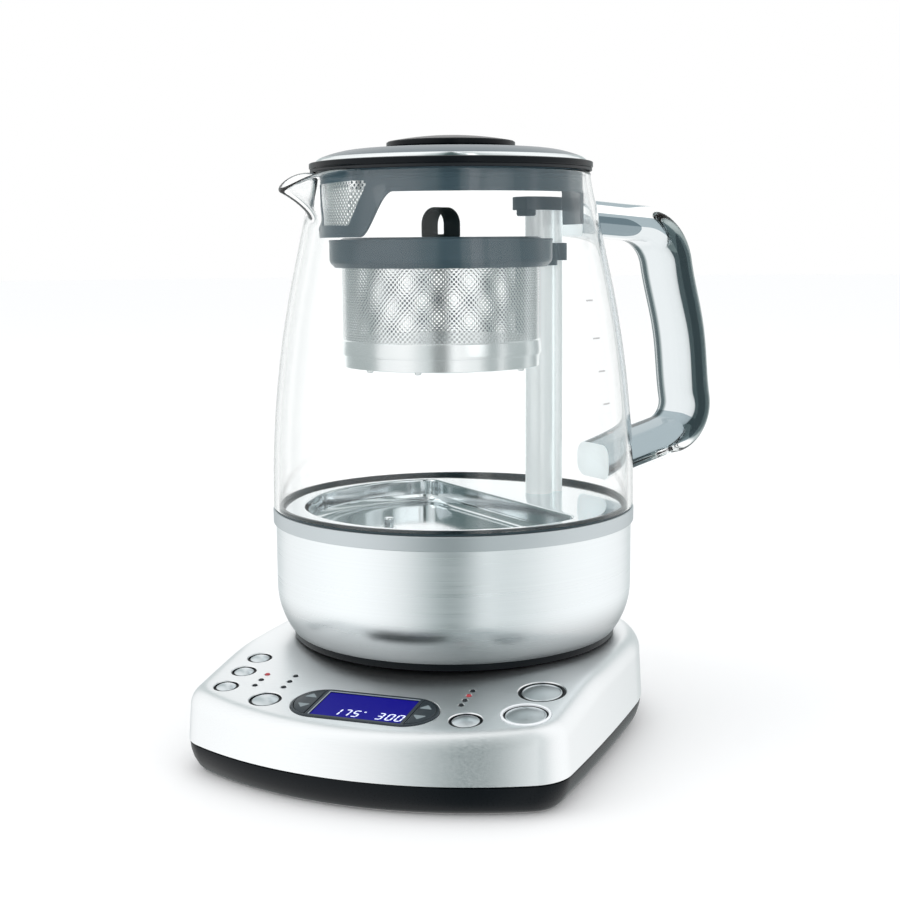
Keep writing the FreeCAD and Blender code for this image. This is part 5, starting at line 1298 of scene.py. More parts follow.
@dataclass
class Jug(SubAssembly):
    """The jug: glass with its spout, solid glass handle, steel cup, floor and the lift post."""

    wall: float = 2.4
    side_curve: float = 484.0
    shoulder_z: float = 200.0
    neck_z: float = 244.0
    neck_radius: float = 63.2
    neck_curve: float = 40.0
    rim_radius: float = 62.5
    curve_z: float = 104.0
    spout_reach: float = 20.2
    spout_half: float = 18.0
    spout_start_z: float = 226.0
    spout_drop: float = 8.2
    handle_width: float = 28.0
    handle_thick: float = 16.5
    handle_round: float = 6.0
    handle_run: int = 24
    handle_bow: float = 2.0
    handle_roots: tuple = ((60.0, 231.5), (70.0, 111.2))
    handle_bends: tuple = ((98.8, 205.0, 23.4), (118.3, 139.5, 16.2))
    lower_arm: int = 78
    cup_foot: float = 74.4
    cup_bend: float = 33.0
    cup_bend_z: float = 66.0
    cup_wall: float = 0.9
    seal_lip_z: float = 102.9
    well_z: float = 90.0

    def build(self) -> None:
        """Builds and dresses every piece of the jug."""
        self.glass()
        self.handle()
        self.cup()
        self.floor()
        self.post()
        self.ticks()

    def radius_at(self, z: np.ndarray) -> np.ndarray:
        """The glass's outer radius, away from the spout.

        Up to the shoulder it is an arc of the side's radius that starts upright; then a straight cone; then
        an arc that turns upright again at the rim.

        Args:
            z: heights.

        Returns:
            The radii there.
        """
        high = box_mm("glass_jug")[1]
        foot, rim_z = high[0], high[2]
        rise = np.clip(z - self.curve_z, 0, self.shoulder_z - self.curve_z)
        side = foot - self.side_curve + np.sqrt(self.side_curve**2 - rise**2)
        shoulder = foot - self.side_curve + sqrt(self.side_curve**2 - (self.shoulder_z - self.curve_z) ** 2)
        share = (z - self.shoulder_z) / (self.neck_z - self.shoulder_z)
        cone = shoulder + (self.neck_radius - shoulder) * share
        left = np.clip(rim_z - z, 0, rim_z - self.neck_z)
        length, centre = rim_z - self.neck_z, self.rim_radius + self.neck_curve
        step = self.neck_radius - (centre - sqrt(self.neck_curve**2 - length**2))
        neck = centre - np.sqrt(self.neck_curve**2 - left**2) + step * left / length
        return np.where(z < self.shoulder_z, side, np.where(z < self.neck_z, cone, neck))

    def glass(self) -> None:
        """The glass: one closed wall with a pulled spout and a round rim.

        The outer side is r(z) + reach g h with g = cos(90 d / half)^1.5 across the spout (d is the angle from
        its middle) and h rising from 0 under the spout to 1 at the rim as t^1.6. The rim drops by drop g^2.2.
        The inner side lies one wall inside along the outer side's own normals; a half circle joins the two.
        """
        low, high = box_mm("glass_jug")
        share = np.linspace(-1, 1, 361)[:-1]
        off = 180.0 * (0.34 * share + 0.66 * share**3)
        pull = np.cos(np.radians(90.0 * np.clip(np.abs(off) / self.spout_half, 0, 1)))**1.5
        steps = np.concatenate((np.linspace(0, 0.62, 44), np.linspace(0.62, 1, 60)[1:]))
        rim = high[2] - self.wall / 2 - self.spout_drop * pull**2.2
        z = low[2] + np.outer(steps, rim - low[2])
        plain_z = low[2] + steps[:, None] * (high[2] - self.wall / 2 - low[2])
        rise = np.clip((z - self.spout_start_z) / (rim - self.spout_start_z), 0, 1)
        radius = self.radius_at(z + (plain_z - z) * rise) + self.spout_reach * pull * rise**1.6
        outer = polar(radius, np.radians(SPOUT_ANGLE + off), z)
        round_it = np.roll(outer, -1, 1) - np.roll(outer, 1, 1)
        normal = np.cross(round_it, np.gradient(outer, axis=0))
        normal /= np.linalg.norm(normal, axis=-1, keepdims=True)
        inner = outer - normal * self.wall
        inner[0] = outer[0] * np.array((1, 1, 0)) * (1 - self.wall / radius[0])[:, None]
        inner[0, :, 2] = low[2] + 0.01
        middle, out = (outer[-1] + inner[-1]) / 2, (outer[-1] - inner[-1]) / 2
        top = np.cross(out, round_it[-1])
        top *= np.sign(top[:, 2:]) / np.linalg.norm(top, axis=1, keepdims=True) * self.wall / 2
        turn = np.linspace(0, pi, 9)[1:-1, None, None]
        grid = np.concatenate((outer, middle + out * np.cos(turn) + top * np.sin(turn), inner[::-1]))
        piece = skin("glass_body", grid.transpose(1, 0, 2), sharp=60.0)
        self.take(piece, Body.JUG, Slot.CLEAR_GLASS, "glass_jug")

    def handle(self) -> None:
        """The solid glass handle: a rounded bar carried along a path of straight runs and tangent arcs.

        A point of the section (a, b) lies at path + a (in-plane normal) + b (across). Each fibre of the two end
        runs starts on the glass's outer side, where hypot(reach, b) = R(z). The sides are tinted by the way
        they face, as painted reflections: slate on the flat sides and on the lower arm's inner face, pale on the
        other inner faces. The two end faces are pale and glow, painted light.
        """
        path, normals = self.handle_path()
        half_t, half_w, run = self.handle_thick / 2, self.handle_width / 2, self.handle_run
        section = rectangle(-half_t, half_t, -half_w, half_w, self.handle_round, steps=9)
        flat = path[:, None, :] + section[None, :, :1] * normals[:, None, :]
        across, count = section[:, 1], len(section)
        for fibres in (flat[:run + 1], flat[::-1][:run + 1]):
            line = fibres[0] + (fibres[-1] - fibres[0]) * np.linspace(0, 1, 2000)[:, None, None]
            short = np.hypot(line[..., 0], across) < self.radius_at(line[..., 1]) + 0.05
            start = line[short.sum(0), np.arange(count)]
            fibres[:] = start + (fibres[-1] - start) * np.linspace(0, 1, run + 1)[:, None, None]
        grid = np.stack((flat[..., 0], np.broadcast_to(across, flat.shape[:2]), flat[..., 1]), -1)
        piece = skin("handle_bar", to_handle(grid), False, True, caps=True, sharp=50.0)
        self.take(piece, Body.JUG, Slot.CLEAR_GLASS, "glass_handle", finish=BAR_CLEAR.material("bar_clear"))
        # painted reflections: slate and pale tints on the handle's faces, and painted light on its end faces
        for name, finish in (("bar_painted_pale_reflection", BAR_PAINTED_PALE_REFLECTION), ("bar_painted_dark_reflection", BAR_PAINTED_DARK_REFLECTION), ("joint_painted_light", JOINT_PAINTED_LIGHT)):
            piece.data.materials.append(finish.material(name))
        clear, pale, slate, joint = range(4)
        sides = (section + np.roll(section, -1, 0)) / 2
        for number, face in enumerate(piece.data.polygons):
            place, (out, wide) = number // count, sides[number % count]
            inward, flat_side = out < -1.0, abs(wide) > half_w - 0.01
            if len(face.vertices) > 4:
                face.material_index = joint
            elif flat_side or (inward and place > self.lower_arm):
                face.material_index = slate
            else:
                face.material_index = pale if inward else clear

    def handle_path(self) -> tuple[np.ndarray, np.ndarray]:
        """The handle's centre line in its own plane (reach, height).

        The line leaves its upper root, goes round the upper bend, runs down, goes round the lower bend and
        comes back to its lower root. Each run is tangent to its arcs. The run between the bends bows outwards
        by bow sin^2(pi t).

        Returns:
            The line's points and its in-plane normals.
        """
        start, end = np.array(self.handle_roots)
        (*upper, upper_r), (*lower, lower_r) = np.array(self.handle_bends)
        gap = np.subtract(lower, upper)

        def leaving(point: np.ndarray, centre: list, radius: float, side: float) -> float:
            """The angle about centre where a line from point touches the circle."""
            away = point - centre
            return atan2(away[1], away[0]) + side * np.arccos(radius / np.linalg.norm(away))

        def run(a: np.ndarray, b: np.ndarray) -> np.ndarray:
            """Evenly spaced points from a towards b, without b."""
            return a + (b - a) * np.linspace(0, 1, self.handle_run, endpoint=False)[:, None]

        first = leaving(start, upper, upper_r, -1.0)
        lean = atan2(gap[1], gap[0]) + np.arccos((upper_r - lower_r) / np.linalg.norm(gap))
        last = leaving(end, lower, lower_r, 1.0)
        if last > lean:
            last -= 2 * pi
        bend = arc(upper, upper_r, np.degrees(first), np.degrees(lean), 22)
        low_bend = arc(lower, lower_r, np.degrees(lean), np.degrees(last), 22)
        wave = np.sin(pi * np.arange(self.handle_run) / self.handle_run)[:, None] ** 2
        middle = run(bend[-1], low_bend[0]) + self.handle_bow * wave * np.array((cos(lean), sin(lean)))
        path = np.vstack((run(start, bend[0]), bend[:-1], middle, low_bend[:-1], run(low_bend[-1], end), end))
        along = np.gradient(path, axis=0)
        along /= np.linalg.norm(along, axis=1, keepdims=True)
        return path, np.column_stack((-along[:, 1], along[:, 0]))

    def cup(self) -> None:
        """The steel cup, the grey ring above it, the dark seal and the black ring below."""
        low, high = box_mm("steel_cup")
        radius, top, bottom = high[0], high[2], low[2] + 1.0
        foot, bend, bend_z = self.cup_foot, self.cup_bend, self.cup_bend_z
        outer = arc((radius - bend, bend_z), bend, 0, -np.degrees(np.arcsin((bend_z - bottom) / bend)), 26)
        outer[:, 0] += (foot - outer[-1, 0]) * ((bend_z - outer[:, 1]) / (bend_z - bottom)) ** 2
        inner = outer[::-1] - (self.cup_wall, 0.0)
        profile = np.vstack(([(radius - self.cup_wall, top), (radius, top)], outer,
                             [(foot - 0.5, bottom - 0.05), (foot - 3.0, bottom)], inner[1:]))
        self.take(lathe("cup", profile, segments=FINE), Body.JUG, Slot.CUP_STEEL, "steel_cup")
        low, high = box_mm("band_ring")
        band = rounded([(79.0, top, 0), (high[0], top, 0.35), (high[0], high[2], 0.9), (78.2, high[2], 0)])
        self.take(lathe("cup_band", band, segments=FINE), Body.JUG, Slot.BAND_GREY, "band_ring")
        low, high = box_mm("glass_seal")
        seal = rounded([(78.0, low[2], 0), (high[0], low[2], 0.3), (high[0], high[2], 0.3),
                        (79.7, high[2], 0), (79.7, self.seal_lip_z, 0.3), (78.0, self.seal_lip_z, 0.4)])
        self.take(lathe("foot_seal", seal, segments=FINE), Body.JUG, Slot.SEAL, "glass_seal")
        low, high = box_mm("jug_bottom")
        edge = foot - 0.1
        ring = rounded([(17.0, low[2] + 0.4, 0), (66.0, low[2] + 0.4, 0), (67.0, low[2], 0.2),
                        (edge - 0.5, low[2], 0.6), (edge, bottom - 0.05, 0.3), (17.0, bottom - 0.05, 0)])
        self.take(lathe("cup_base", ring, segments=FINE), Body.JUG, Slot.BLACK_PLASTIC, "jug_bottom")

    def floor(self) -> None:
        """The jug's floor: a shelf all round, and a deeper well with one straight side towards the handle.

        The well's outline is a circle cut by a chord, with round corners. Rings of points run from the shelf's
        rim to that outline, round its lip, down the wall and in to the middle of the well.
        """
        low, high = box_mm("floor_plate")
        shelf, well_z, sheet = high[2], self.well_z, 1.2
        radius, chord, corner, lip, foot = 68.0, 25.0, 9.0, 1.1, 4.0
        reach = sqrt((radius - corner) ** 2 - (chord - corner) ** 2)
        end = np.degrees(atan2(reach, chord - corner))
        outline = np.vstack((arc((0, 0), radius, end, 360 - end, 150),
                             arc((chord - corner, -reach), corner, 360 - end, 360, 12)[1:],
                             np.column_stack((np.full(30, chord), np.linspace(-reach, reach, 32)[1:-1])),
                             arc((chord - corner, reach), corner, 0, end, 12)[:-1]))
        middle = np.array((-18.0, 0.0))
        way = outline - middle
        way /= np.linalg.norm(way, axis=1, keepdims=True)
        across = way @ middle
        rim = middle + way * (-across + np.sqrt(across**2 + high[0] ** 2 - middle @ middle))[:, None]
        inside = shrunk(outline, foot)
        rings = [(rim, shelf - sheet), (rim, shelf - 0.25)]
        rings += [(rim + (outline - rim) * share, shelf) for share in (0.03, 0.4, 0.8)]
        rings += [(shrunk(outline, -lip * (1 - sin(a))), shelf - lip * (1 - cos(a)))
                  for a in np.linspace(0, pi / 2, 6)]
        rings += [(shrunk(outline, foot * (1 - cos(a))), well_z + foot * (1 - sin(a)))
                  for a in np.linspace(0, pi / 2, 7)]
        rings += [(middle + (inside - middle) * share, well_z) for share in (0.75, 0.5, 0.25, 0.0)]
        rings += [(middle + (inside - middle) * share, well_z - sheet) for share in (0.0, 1.0)]
        rings += [(shrunk(outline, -sheet), height) for height in (well_z + 3.0, shelf - sheet)]
        dish = skin("floor_dish", to_handle(levelled(rings)), sharp=45.0)
        self.take(dish, Body.JUG, Slot.FLOOR_STEEL, "floor_plate")
        low, high = box_mm("temperature_sensor")
        at = tuple((low[:2] + high[:2]) / 2)
        parts = [lathe("probe", rectangle(0, radius, foot, top, 0, 0, edge, 0), at, 40, False)
                 for radius, foot, top, edge in ((2.2, 83.0, high[2], 1.0), (3.4, well_z, well_z + 0.8, 0.3))]
        self.take(joined("probe", parts), Body.JUG, Slot.FLOOR_STEEL, "temperature_sensor")

    def post(self) -> None:
        """The lift post: a wide and a narrow tube side by side, closed by a cap with a tongue."""
        low, high = box_mm("lift_post")
        tubes = [lathe("tube", rectangle(radius - 1.0, radius, low[2], high[2]), on_handle_line(along), 72)
                 for along, radius in ((POST_ALONG, 6.5), (57.0, 3.3))]
        # the tubes take a steel with painted light
        self.take(joined("post_tubes", tubes), Body.JUG, Slot.FLOOR_STEEL, "lift_post",
                  finish=POST_STEEL_PAINTED_LIGHT.material("post_satin_painted_light"))
        low, high = box_mm("post_cap")
        hood = rounded([(36.8, -5.6, 1.2), (41.5, -7.0, 3.0), (50.0, -7.0, 2.0), (60.9, -3.6, 3.2),
                        (60.9, 3.6, 3.2), (50.0, 7.0, 2.0), (36.8, 7.0, 1.2)])
        tongue = rectangle(37.2, 42.5, -5.2, 4.4, 1.4, 0.5, 0.5, 1.4)
        parts = [slab("hood", hood, edge_levels(low[2] - 0.3, high[2], 0.5, 0.3), to_handle),
                 slab("tongue", tongue, edge_levels(231.4, low[2], 0.0, 1.0), to_handle)]
        self.take(joined("post_top", parts), Body.JUG, Slot.GREY_PLASTIC, "post_cap")

    def ticks(self) -> None:
        """Faint level marks on the glass beside the handle: short bars one above another."""
        bars = []
        grid = stacked(rectangle(-2.6, 2.6, -0.35, 0.35, 0.2, steps=3), [(0, 0.02), (0, 0.06)])
        for number, height in enumerate((195.0, 179.0, 165.0, 151.0, 138.5)):
            z = height + grid[..., 1]
            radius = self.radius_at(z) + grid[..., 2]
            bent = polar(radius, radians(342.0 + number) + grid[..., 0] / radius, z)
            bars.append(skin("tick", bent, False, True, caps=True))
        grey = TICK_GREY.material("tick_grey")
        self.take(joined("level_marks", bars), Body.JUG, Slot.CLEAR_GLASS, finish=grey)


# ---------------------------------------------------------------------------------------------- lid


def perforated(name: str, columns: int, rows: int, pitch: float, row_pitch: float, hole: float,
               bend: Callable, wrap: bool = False, keep: Callable | None = None) -> Object:
    """A sheet with staggered round holes, bent to its place.

    The sheet is tiled by diamonds, one round each hole: corners at (pitch / 2, 0) and (0, row pitch) from its
    middle. Between a diamond and its eight-sided hole lie four five-sided faces.

    Args:
        name: the piece's name.
        columns: holes in a row.
        rows: rows, alternate ones shifted by half a pitch.
        pitch: distance between holes in a row.
        row_pitch: distance between rows.
        hole: the holes' radius.
        bend: a function from flat (x, z) arrays to points in the machine's frame.
        wrap: whether the last column meets the first.
        keep: a function from flat (x, z) arrays to the diamonds that stay, or None for all.

    Returns:
        The object.
    """
    column, row = np.meshgrid(np.arange(columns), np.arange(rows))
    middle = np.stack(((column + 0.5 * (row % 2)) * pitch, row * row_pitch), -1).reshape(-1, 1, 2)
    if keep is not None:
        middle = middle[keep(middle[:, 0, 0], middle[:, 0, 1])]
    corners = np.array([(pitch / 2, 0), (0, row_pitch), (-pitch / 2, 0), (0, -row_pitch)])
    flat = (middle + np.vstack((corners, arc((0, 0), hole, 0, 315, 8)))[None]).reshape(-1, 2)
    first = (np.arange(len(middle)) * 12)[:, None]
    faces = []
    for side in range(4):
        local = [side, (side + 1) % 4, 4 + (2 * side + 2) % 8, 5 + 2 * side, 4 + 2 * side]
        faces += (first + np.array(local)).tolist()
    if wrap:
        flat[:, 0] %= columns * pitch
    piece = solid(name, bend(flat[:, 0], flat[:, 1]), faces)
    return modified(piece, "SOLIDIFY", 50.0, thickness=SHEET * MM, offset=0.0)


@dataclass
class Lid(SubAssembly):
    """The lid: gasket, rim, steel dome, knob, skirt with its baffle, and the filter at the spout."""

    skirt_wall: float = 1.5
    skirt_low: float = 240.7
    rear_climb: float = 4.0
    sweep_start: float = 19.0
    sweep: float = 16.5
    window: tuple = ((-13.0, 227.0), (13.0, 227.0), (24.5, 245.6), (-24.5, 245.6))
    filter_low: float = 222.0
    baffle_low: float = 227.5
    baffle_start: float = 142.0
    baffle_end: float = 175.0
    knob_crown: float = 2.7
    knob_low: float = 260.9
    dome_drop: float = 1.15

    def build(self) -> None:
        """Builds and dresses every piece of the lid."""
        self.rings()
        self.dome()
        self.skirt()
        self.filter()

    def rings(self) -> None:
        """The rubber gasket and the black rim with a step under its edge."""
        low, high = box_mm("lid_gasket")
        gasket = rectangle(59.6, high[0], low[2], high[2], 0.2, 0.5, 0.3, 0.2)
        self.take(lathe("lid_seal", gasket, segments=FINE), Body.LID, Slot.RUBBER, "lid_gasket")
        low, high = box_mm("lid_rim")
        step = high[2] - 0.6
        rim = rounded([(14.0, low[2], 0), (high[0] - 0.5, low[2], 0.2), (high[0], low[2] + 0.5, 0.3),
                       (high[0], high[2] - 0.3, 0.5), (high[0] - 1.6, high[2], 0.3), (61.2, high[2], 0),
                       (60.9, step, 0), (14.0, step, 0)])
        self.take(lathe("lid_edge", rim, segments=FINE), Body.LID, Slot.BLACK_PLASTIC, "lid_rim")

    def dome(self) -> None:
        """The steel dome with its polished edge, and the knob.

        The dome rises as an arc from its edge to its flat top; the knob's top is a shallow dome whose height
        falls as crown (r / edge)^2.
        """
        low, high = box_mm("lid_dome")
        foot, crest, share = low[2], high[2] - self.dome_drop, np.linspace(0, 1, 24)
        height = foot + 1.6 + (crest - 1.6 - foot) * (1 - (1 - share) ** 1.7)
        outer = np.vstack(([(59.8, foot)], np.column_stack((59.6 + (44.0 - 59.6) * share, height)),
                           np.column_stack((np.linspace(42.0, 12.4, 8), np.full(8, crest)))))
        inner = outer[::-1] - (0.0, 0.9)
        inner[-1] = (high[0] - 3.0, foot)
        dome = lathe("lid_top", np.vstack((outer, inner)), segments=FINE)
        self.take(dome, Body.LID, Slot.DOME_STEEL, "lid_dome")
        edge = rounded([(59.5, foot, 0), (high[0], foot, 0.1), (high[0] - 0.3, foot + 0.8, 0.5),
                        (59.7, foot + 1.9, 0.3), (59.5, foot + 1.5, 0)])
        self.take(lathe("lid_bright_edge", edge, segments=FINE), Body.LID, Slot.DOME_STEEL,
                  finish=POLISHED.material("polished_edge"))
        low, high = box_mm("lid_knob")
        edge, top, under = high[0], high[2], self.knob_low
        reach = np.linspace(edge - 0.7, 0, 16)
        crown = np.column_stack((reach, top - self.knob_crown * (reach / (edge - 0.7)) ** 2))
        side = rounded([(0, low[2], 0), (12.0, low[2], 0.4), (12.0, under, 0.6), (edge - 1.0, under, 0.4),
                        (edge, under + 1.1, 0.3), (edge, top - self.knob_crown - 0.2, 0.3)], 4)
        knob = lathe("lid_grip", np.vstack((side, crown)), closed=False)
        self.take(knob, Body.LID, Slot.BLACK_PLASTIC, "lid_knob")

    def lower_edge(self, off: np.ndarray) -> np.ndarray:
        """The skirt's lower edge.

        It sweeps from the skirt's height down to the filter's in an S: low + rise (3 t^2 - 2 t^3), t running
        from 0 to 1 over the sweep. It climbs a little round the back, and the baffle by the handle drops it.

        Args:
            off: angles from the spout's middle, degrees.

        Returns:
            The edge's heights.
        """
        t = np.clip((np.abs(off) - self.sweep_start) / self.sweep, 0, 1)
        climb = self.rear_climb * np.clip(-2.5 * np.cos(np.radians(off - 60.0)), 0, 1)
        edge = self.filter_low + (self.skirt_low + climb - self.filter_low) * (3 * t**2 - 2 * t**3)
        return np.where((off > self.baffle_start) & (off < self.baffle_end), self.baffle_low, edge)

    def skirt(self) -> None:
        """The dark skirt under the lid, one wall round the mouth with fine ribs near its top.

        The wall's outer side is r minus a ribbing 0.18 (1 + cos) in the upper third; its lower lip turns out
        slightly. The window at the spout is cut out of it.
        """
        low, high = box_mm("lid_skirt")
        radius, top = high[0], high[2]
        off = np.linspace(-180, 180, 541)[:-1]
        bottom = self.lower_edge(off)
        z = bottom + np.linspace(0, 1, 40)[:, None] * (top - bottom)
        ribs = 0.18 * (1 + np.cos((top - z) * 2 * pi / 1.5)) * np.clip((z - (top - 6.5)) * 2, 0, 1)
        lip = 0.45 * np.clip(1 - (z - bottom) / 1.6, 0, 1) ** 0.5
        reaches = (radius - 0.45 - ribs + lip, np.full_like(z, radius - self.skirt_wall))
        outside, inside = (polar(reach, np.radians(SPOUT_ANGLE + off), z) for reach in reaches)
        piece = skin("skirt", np.concatenate((outside, inside[::-1])).transpose(1, 0, 2))
        corners = rounded([(*corner, 1.6) for corner in self.window], 7)
        outline = []
        for start, end in zip(corners, np.roll(corners, -1, 0)):
            count = max(1, int(abs(end[0] - start[0])))
            outline.append(start + (end - start) * np.linspace(0, 1, count, endpoint=False)[:, None])
        window = stacked(np.vstack(outline), [(0, radius - 4.0), (0, radius + 3.0)])
        grid = polar(window[..., 2], np.radians(SPOUT_ANGLE + window[..., 0]), window[..., 1])
        cutter = skin("window_cut", grid, False, True, caps=True)
        self.take(carved(piece, [cutter], 40.0), Body.LID, Slot.GREY_PLASTIC, "lid_skirt", "filter_frame")

    def filter(self) -> None:
        """The filter's mesh, on the inner side of the skirt's window."""
        radius = box_mm("lid_skirt")[1][0] - self.skirt_wall + 0.35
        pitch, width = 2.3, radians(53.0) * radius

        def bend(x: np.ndarray, z: np.ndarray) -> np.ndarray:
            """Round the mouth: angle = x / radius about the spout's middle."""
            return polar(radius, radians(SPOUT_ANGLE) + (x - width / 2) / radius, 226.9 + z)

        def behind(x: np.ndarray, z: np.ndarray) -> np.ndarray:
            """The diamonds within a margin of the slanted window."""
            return np.abs(np.degrees((x - width / 2) / radius)) < 14.6 + 11.5 * z / 18.6

        sheet = perforated("filter_sheet", int(width / pitch), 17, pitch, 1.2, 0.62, bend, keep=behind)
        self.take(sheet, Body.LID, Slot.MESH_STEEL, "filter_mesh")


# ---------------------------------------------------------------------------------------------- basket


@dataclass
class Basket(SubAssembly):
    """The tea basket: collar, yoke round the post, mesh wall, hoop, tray and its own lid with a loop."""

    along: float = -5.5
    radius: float = 44.5
    pitch: float = 2.12
    row_pitch: float = 1.1
    hole: float = 0.6
    collar_rise: float = 1.0
    hoop_drop: float = 5.0
    post_way: float = 7.0

    def turned(self, name: str, corners: list, at: tuple | None = None, closed: bool = True,
               segments: int = 224) -> Object:
        """A body of revolution about the basket's axis, or about another upright one.

        Args:
            name: the piece's name.
            corners: (radius, height, rounding) of its outline.
            at: the other axis, x and y, or None.
            closed: whether the outline's last point joins its first.
            segments: how many steps a turn has.

        Returns:
            The object.
        """
        return lathe(name, rounded(corners), at or self.centre(), segments, closed)

    def centre(self) -> tuple:
        """The basket's upright axis."""
        return on_handle_line(self.along)

    def build(self) -> None:
        """Builds and dresses every piece of the basket."""
        self.collar()
        self.wall()
        self.tray()
        self.cover()

    def collar(self) -> None:
        """The grey collar with a chamfered lower edge, cut round the post, and the yoke on the post."""
        low, high = box_mm("basket_collar")
        bottom, top, outer = low[2], high[2] + self.collar_rise, 50.0
        ring = self.turned("collar", [
            (45.2, bottom, 0.3), (47.6, bottom, 0.5), (outer - 0.4, bottom + 2.2, 0.8),
            (outer, bottom + 3.5, 1.0), (outer, top - 1.2, 0.2), (outer + 0.15, top - 0.9, 0.15),
            (outer + 0.15, top, 0.35), (47.6, top, 0.35), (46.9, top - 1.0, 0.3), (46.0, top - 2, 0),
            (46.0, bottom + 2, 0), (45.2, bottom + 2, 0)])
        way = rectangle(0, self.post_way, bottom - 5, top + 5)
        way = lathe("post_way", way, on_handle_line(POST_ALONG), 64, False)
        self.take(carved(ring, [way]), Body.BASKET, Slot.GREY_PLASTIC, "basket_collar")
        yoke = from_frame("post_grip", self.nodes["basket_yoke"], 0.5)
        self.take(yoke, Body.BASKET, Slot.GREY_PLASTIC, "basket_yoke")

    def wall(self) -> None:
        """The perforated wall, with painted shade where it faces inwards, and a plain band at its foot."""
        columns = round(2 * pi * self.radius / self.pitch)
        bottom = box_mm("basket_hoop")[1][2] - 1.4
        rows = int((box_mm("basket_collar")[0][2] + 1.2 - bottom) / self.row_pitch)

        def bend(x: np.ndarray, z: np.ndarray) -> np.ndarray:
            """Round the basket: angle = x / radius."""
            return polar(self.radius - 0.28, x / self.radius, bottom + z, self.centre())

        pitch = 2 * pi * self.radius / columns
        sheet = perforated("basket_sheet", columns, rows, pitch, self.row_pitch, self.hole, bend, wrap=True)
        self.take(sheet, Body.BASKET, Slot.MESH_STEEL, "basket_mesh")
        # painted shade: the faces turned towards the basket's axis take a dark steel
        sheet.data.materials.append(MESH_SHADE.material("mesh_inside_painted_shade"))
        axis = Vector((*self.centre(), 0)) * MM
        for face in sheet.data.polygons:
            away = face.center - axis
            outward = face.normal.x * away.x + face.normal.y * away.y
            face.material_index = int(outward < -0.3 * self.radius * MM)
        low, high = box_mm("basket_hoop")
        foot, top = low[2] - self.hoop_drop, high[2]
        hoop = self.turned("basket_band", [
            (43.9, foot, 0), (44.3, foot, 0), (44.35, low[2], 0), (45.2, low[2] + 0.2, 0.2),
            (45.3, low[2] + 1.4, 0.4), (44.9, top - 0.5, 0.4), (44.5, top, 0.2), (43.9, top, 0.1)])
        # the band glows a little: painted light
        bright = BAND_PAINTED_LIGHT.material("band_painted_light")
        self.take(hoop, Body.BASKET, Slot.MESH_STEEL, "basket_hoop", finish=bright)

    def tray(self) -> None:
        """The shallow steel bottom with a mesh floor and three nubs."""
        low, high = box_mm("basket_tray")
        bottom, top = low[2], high[2]
        cx, cy = self.centre()
        row_pitch = self.row_pitch * 1.35
        parts = [self.turned("tray_rim", [
            (39.0, bottom + 0.2, 0.1), (41.0, bottom, 0.3), (43.6, bottom, 1.8), (43.6, top, 0.2),
            (42.8, top, 0.2), (42.8, bottom + 1.4, 1.0), (39.0, bottom + 0.7, 0.1)])]

        def flat(x: np.ndarray, z: np.ndarray) -> np.ndarray:
            """Level at the tray's floor, centred on the basket.

            Args:
                x: places across.
                z: places along.

            Returns:
                The points; those outside the rim's ledge come in to it.
            """
            u, v = x - 39.5, z - 39.5
            size = np.maximum(np.hypot(u, v), 1e-6)
            inside = np.minimum(size, 40.5) / size
            return np.stack((cx + u * inside, cy + v * inside, np.full_like(u, bottom + 0.9)), -1)

        sheet = perforated("tray_sheet", int(78 / self.pitch), int(80 / self.row_pitch / 1.35), self.pitch,
                           row_pitch, self.hole, flat)
        for angle in (241.0, 276.0, 348.0):
            at = (cx + 41.0 * cos(radians(angle)), cy + 41.0 * sin(radians(angle)))
            nub = [(0, bottom + 0.4, 0), (1.5, bottom + 0.4, 0), (1.4, bottom - 0.9, 0.6),
                   (0, bottom - 1.1, 0)]
            parts.append(self.turned("nub", nub, at, False, 24))
        # the tray's rim glows a little: painted light
        self.take(joined("tray", parts), Body.BASKET, Slot.MESH_STEEL, "basket_tray",
                  finish=BAND_PAINTED_LIGHT.material("dish_painted_light"))
        self.take(sheet, Body.BASKET, Slot.MESH_STEEL)

    def cover(self) -> None:
        """The basket's lid, a thin grey disc with a soft edge, and its black rubber loop."""
        low, high = box_mm("basket_lid")
        foot, top = low[2], high[2]
        disc = self.turned("tea_lid", [
            (0, foot, 0), (44.5, foot, 0.4), (45.6, foot + 1.8, 0.3), (45.6, top - 0.9, 0.7), (43.5, top, 0.6),
            (20.0, top - 0.4, 2.0), (0, top - 0.4, 0)], closed=False)
        self.take(disc, Body.BASKET_LID, Slot.GREY_PLASTIC, "basket_lid")
        loop = from_frame("pull_loop", self.nodes["lid_loop"], 0.7)
        self.take(loop, Body.BASKET_LID, Slot.RUBBER, "lid_loop")


# ---------------------------------------------------------------------------------------------- the studio


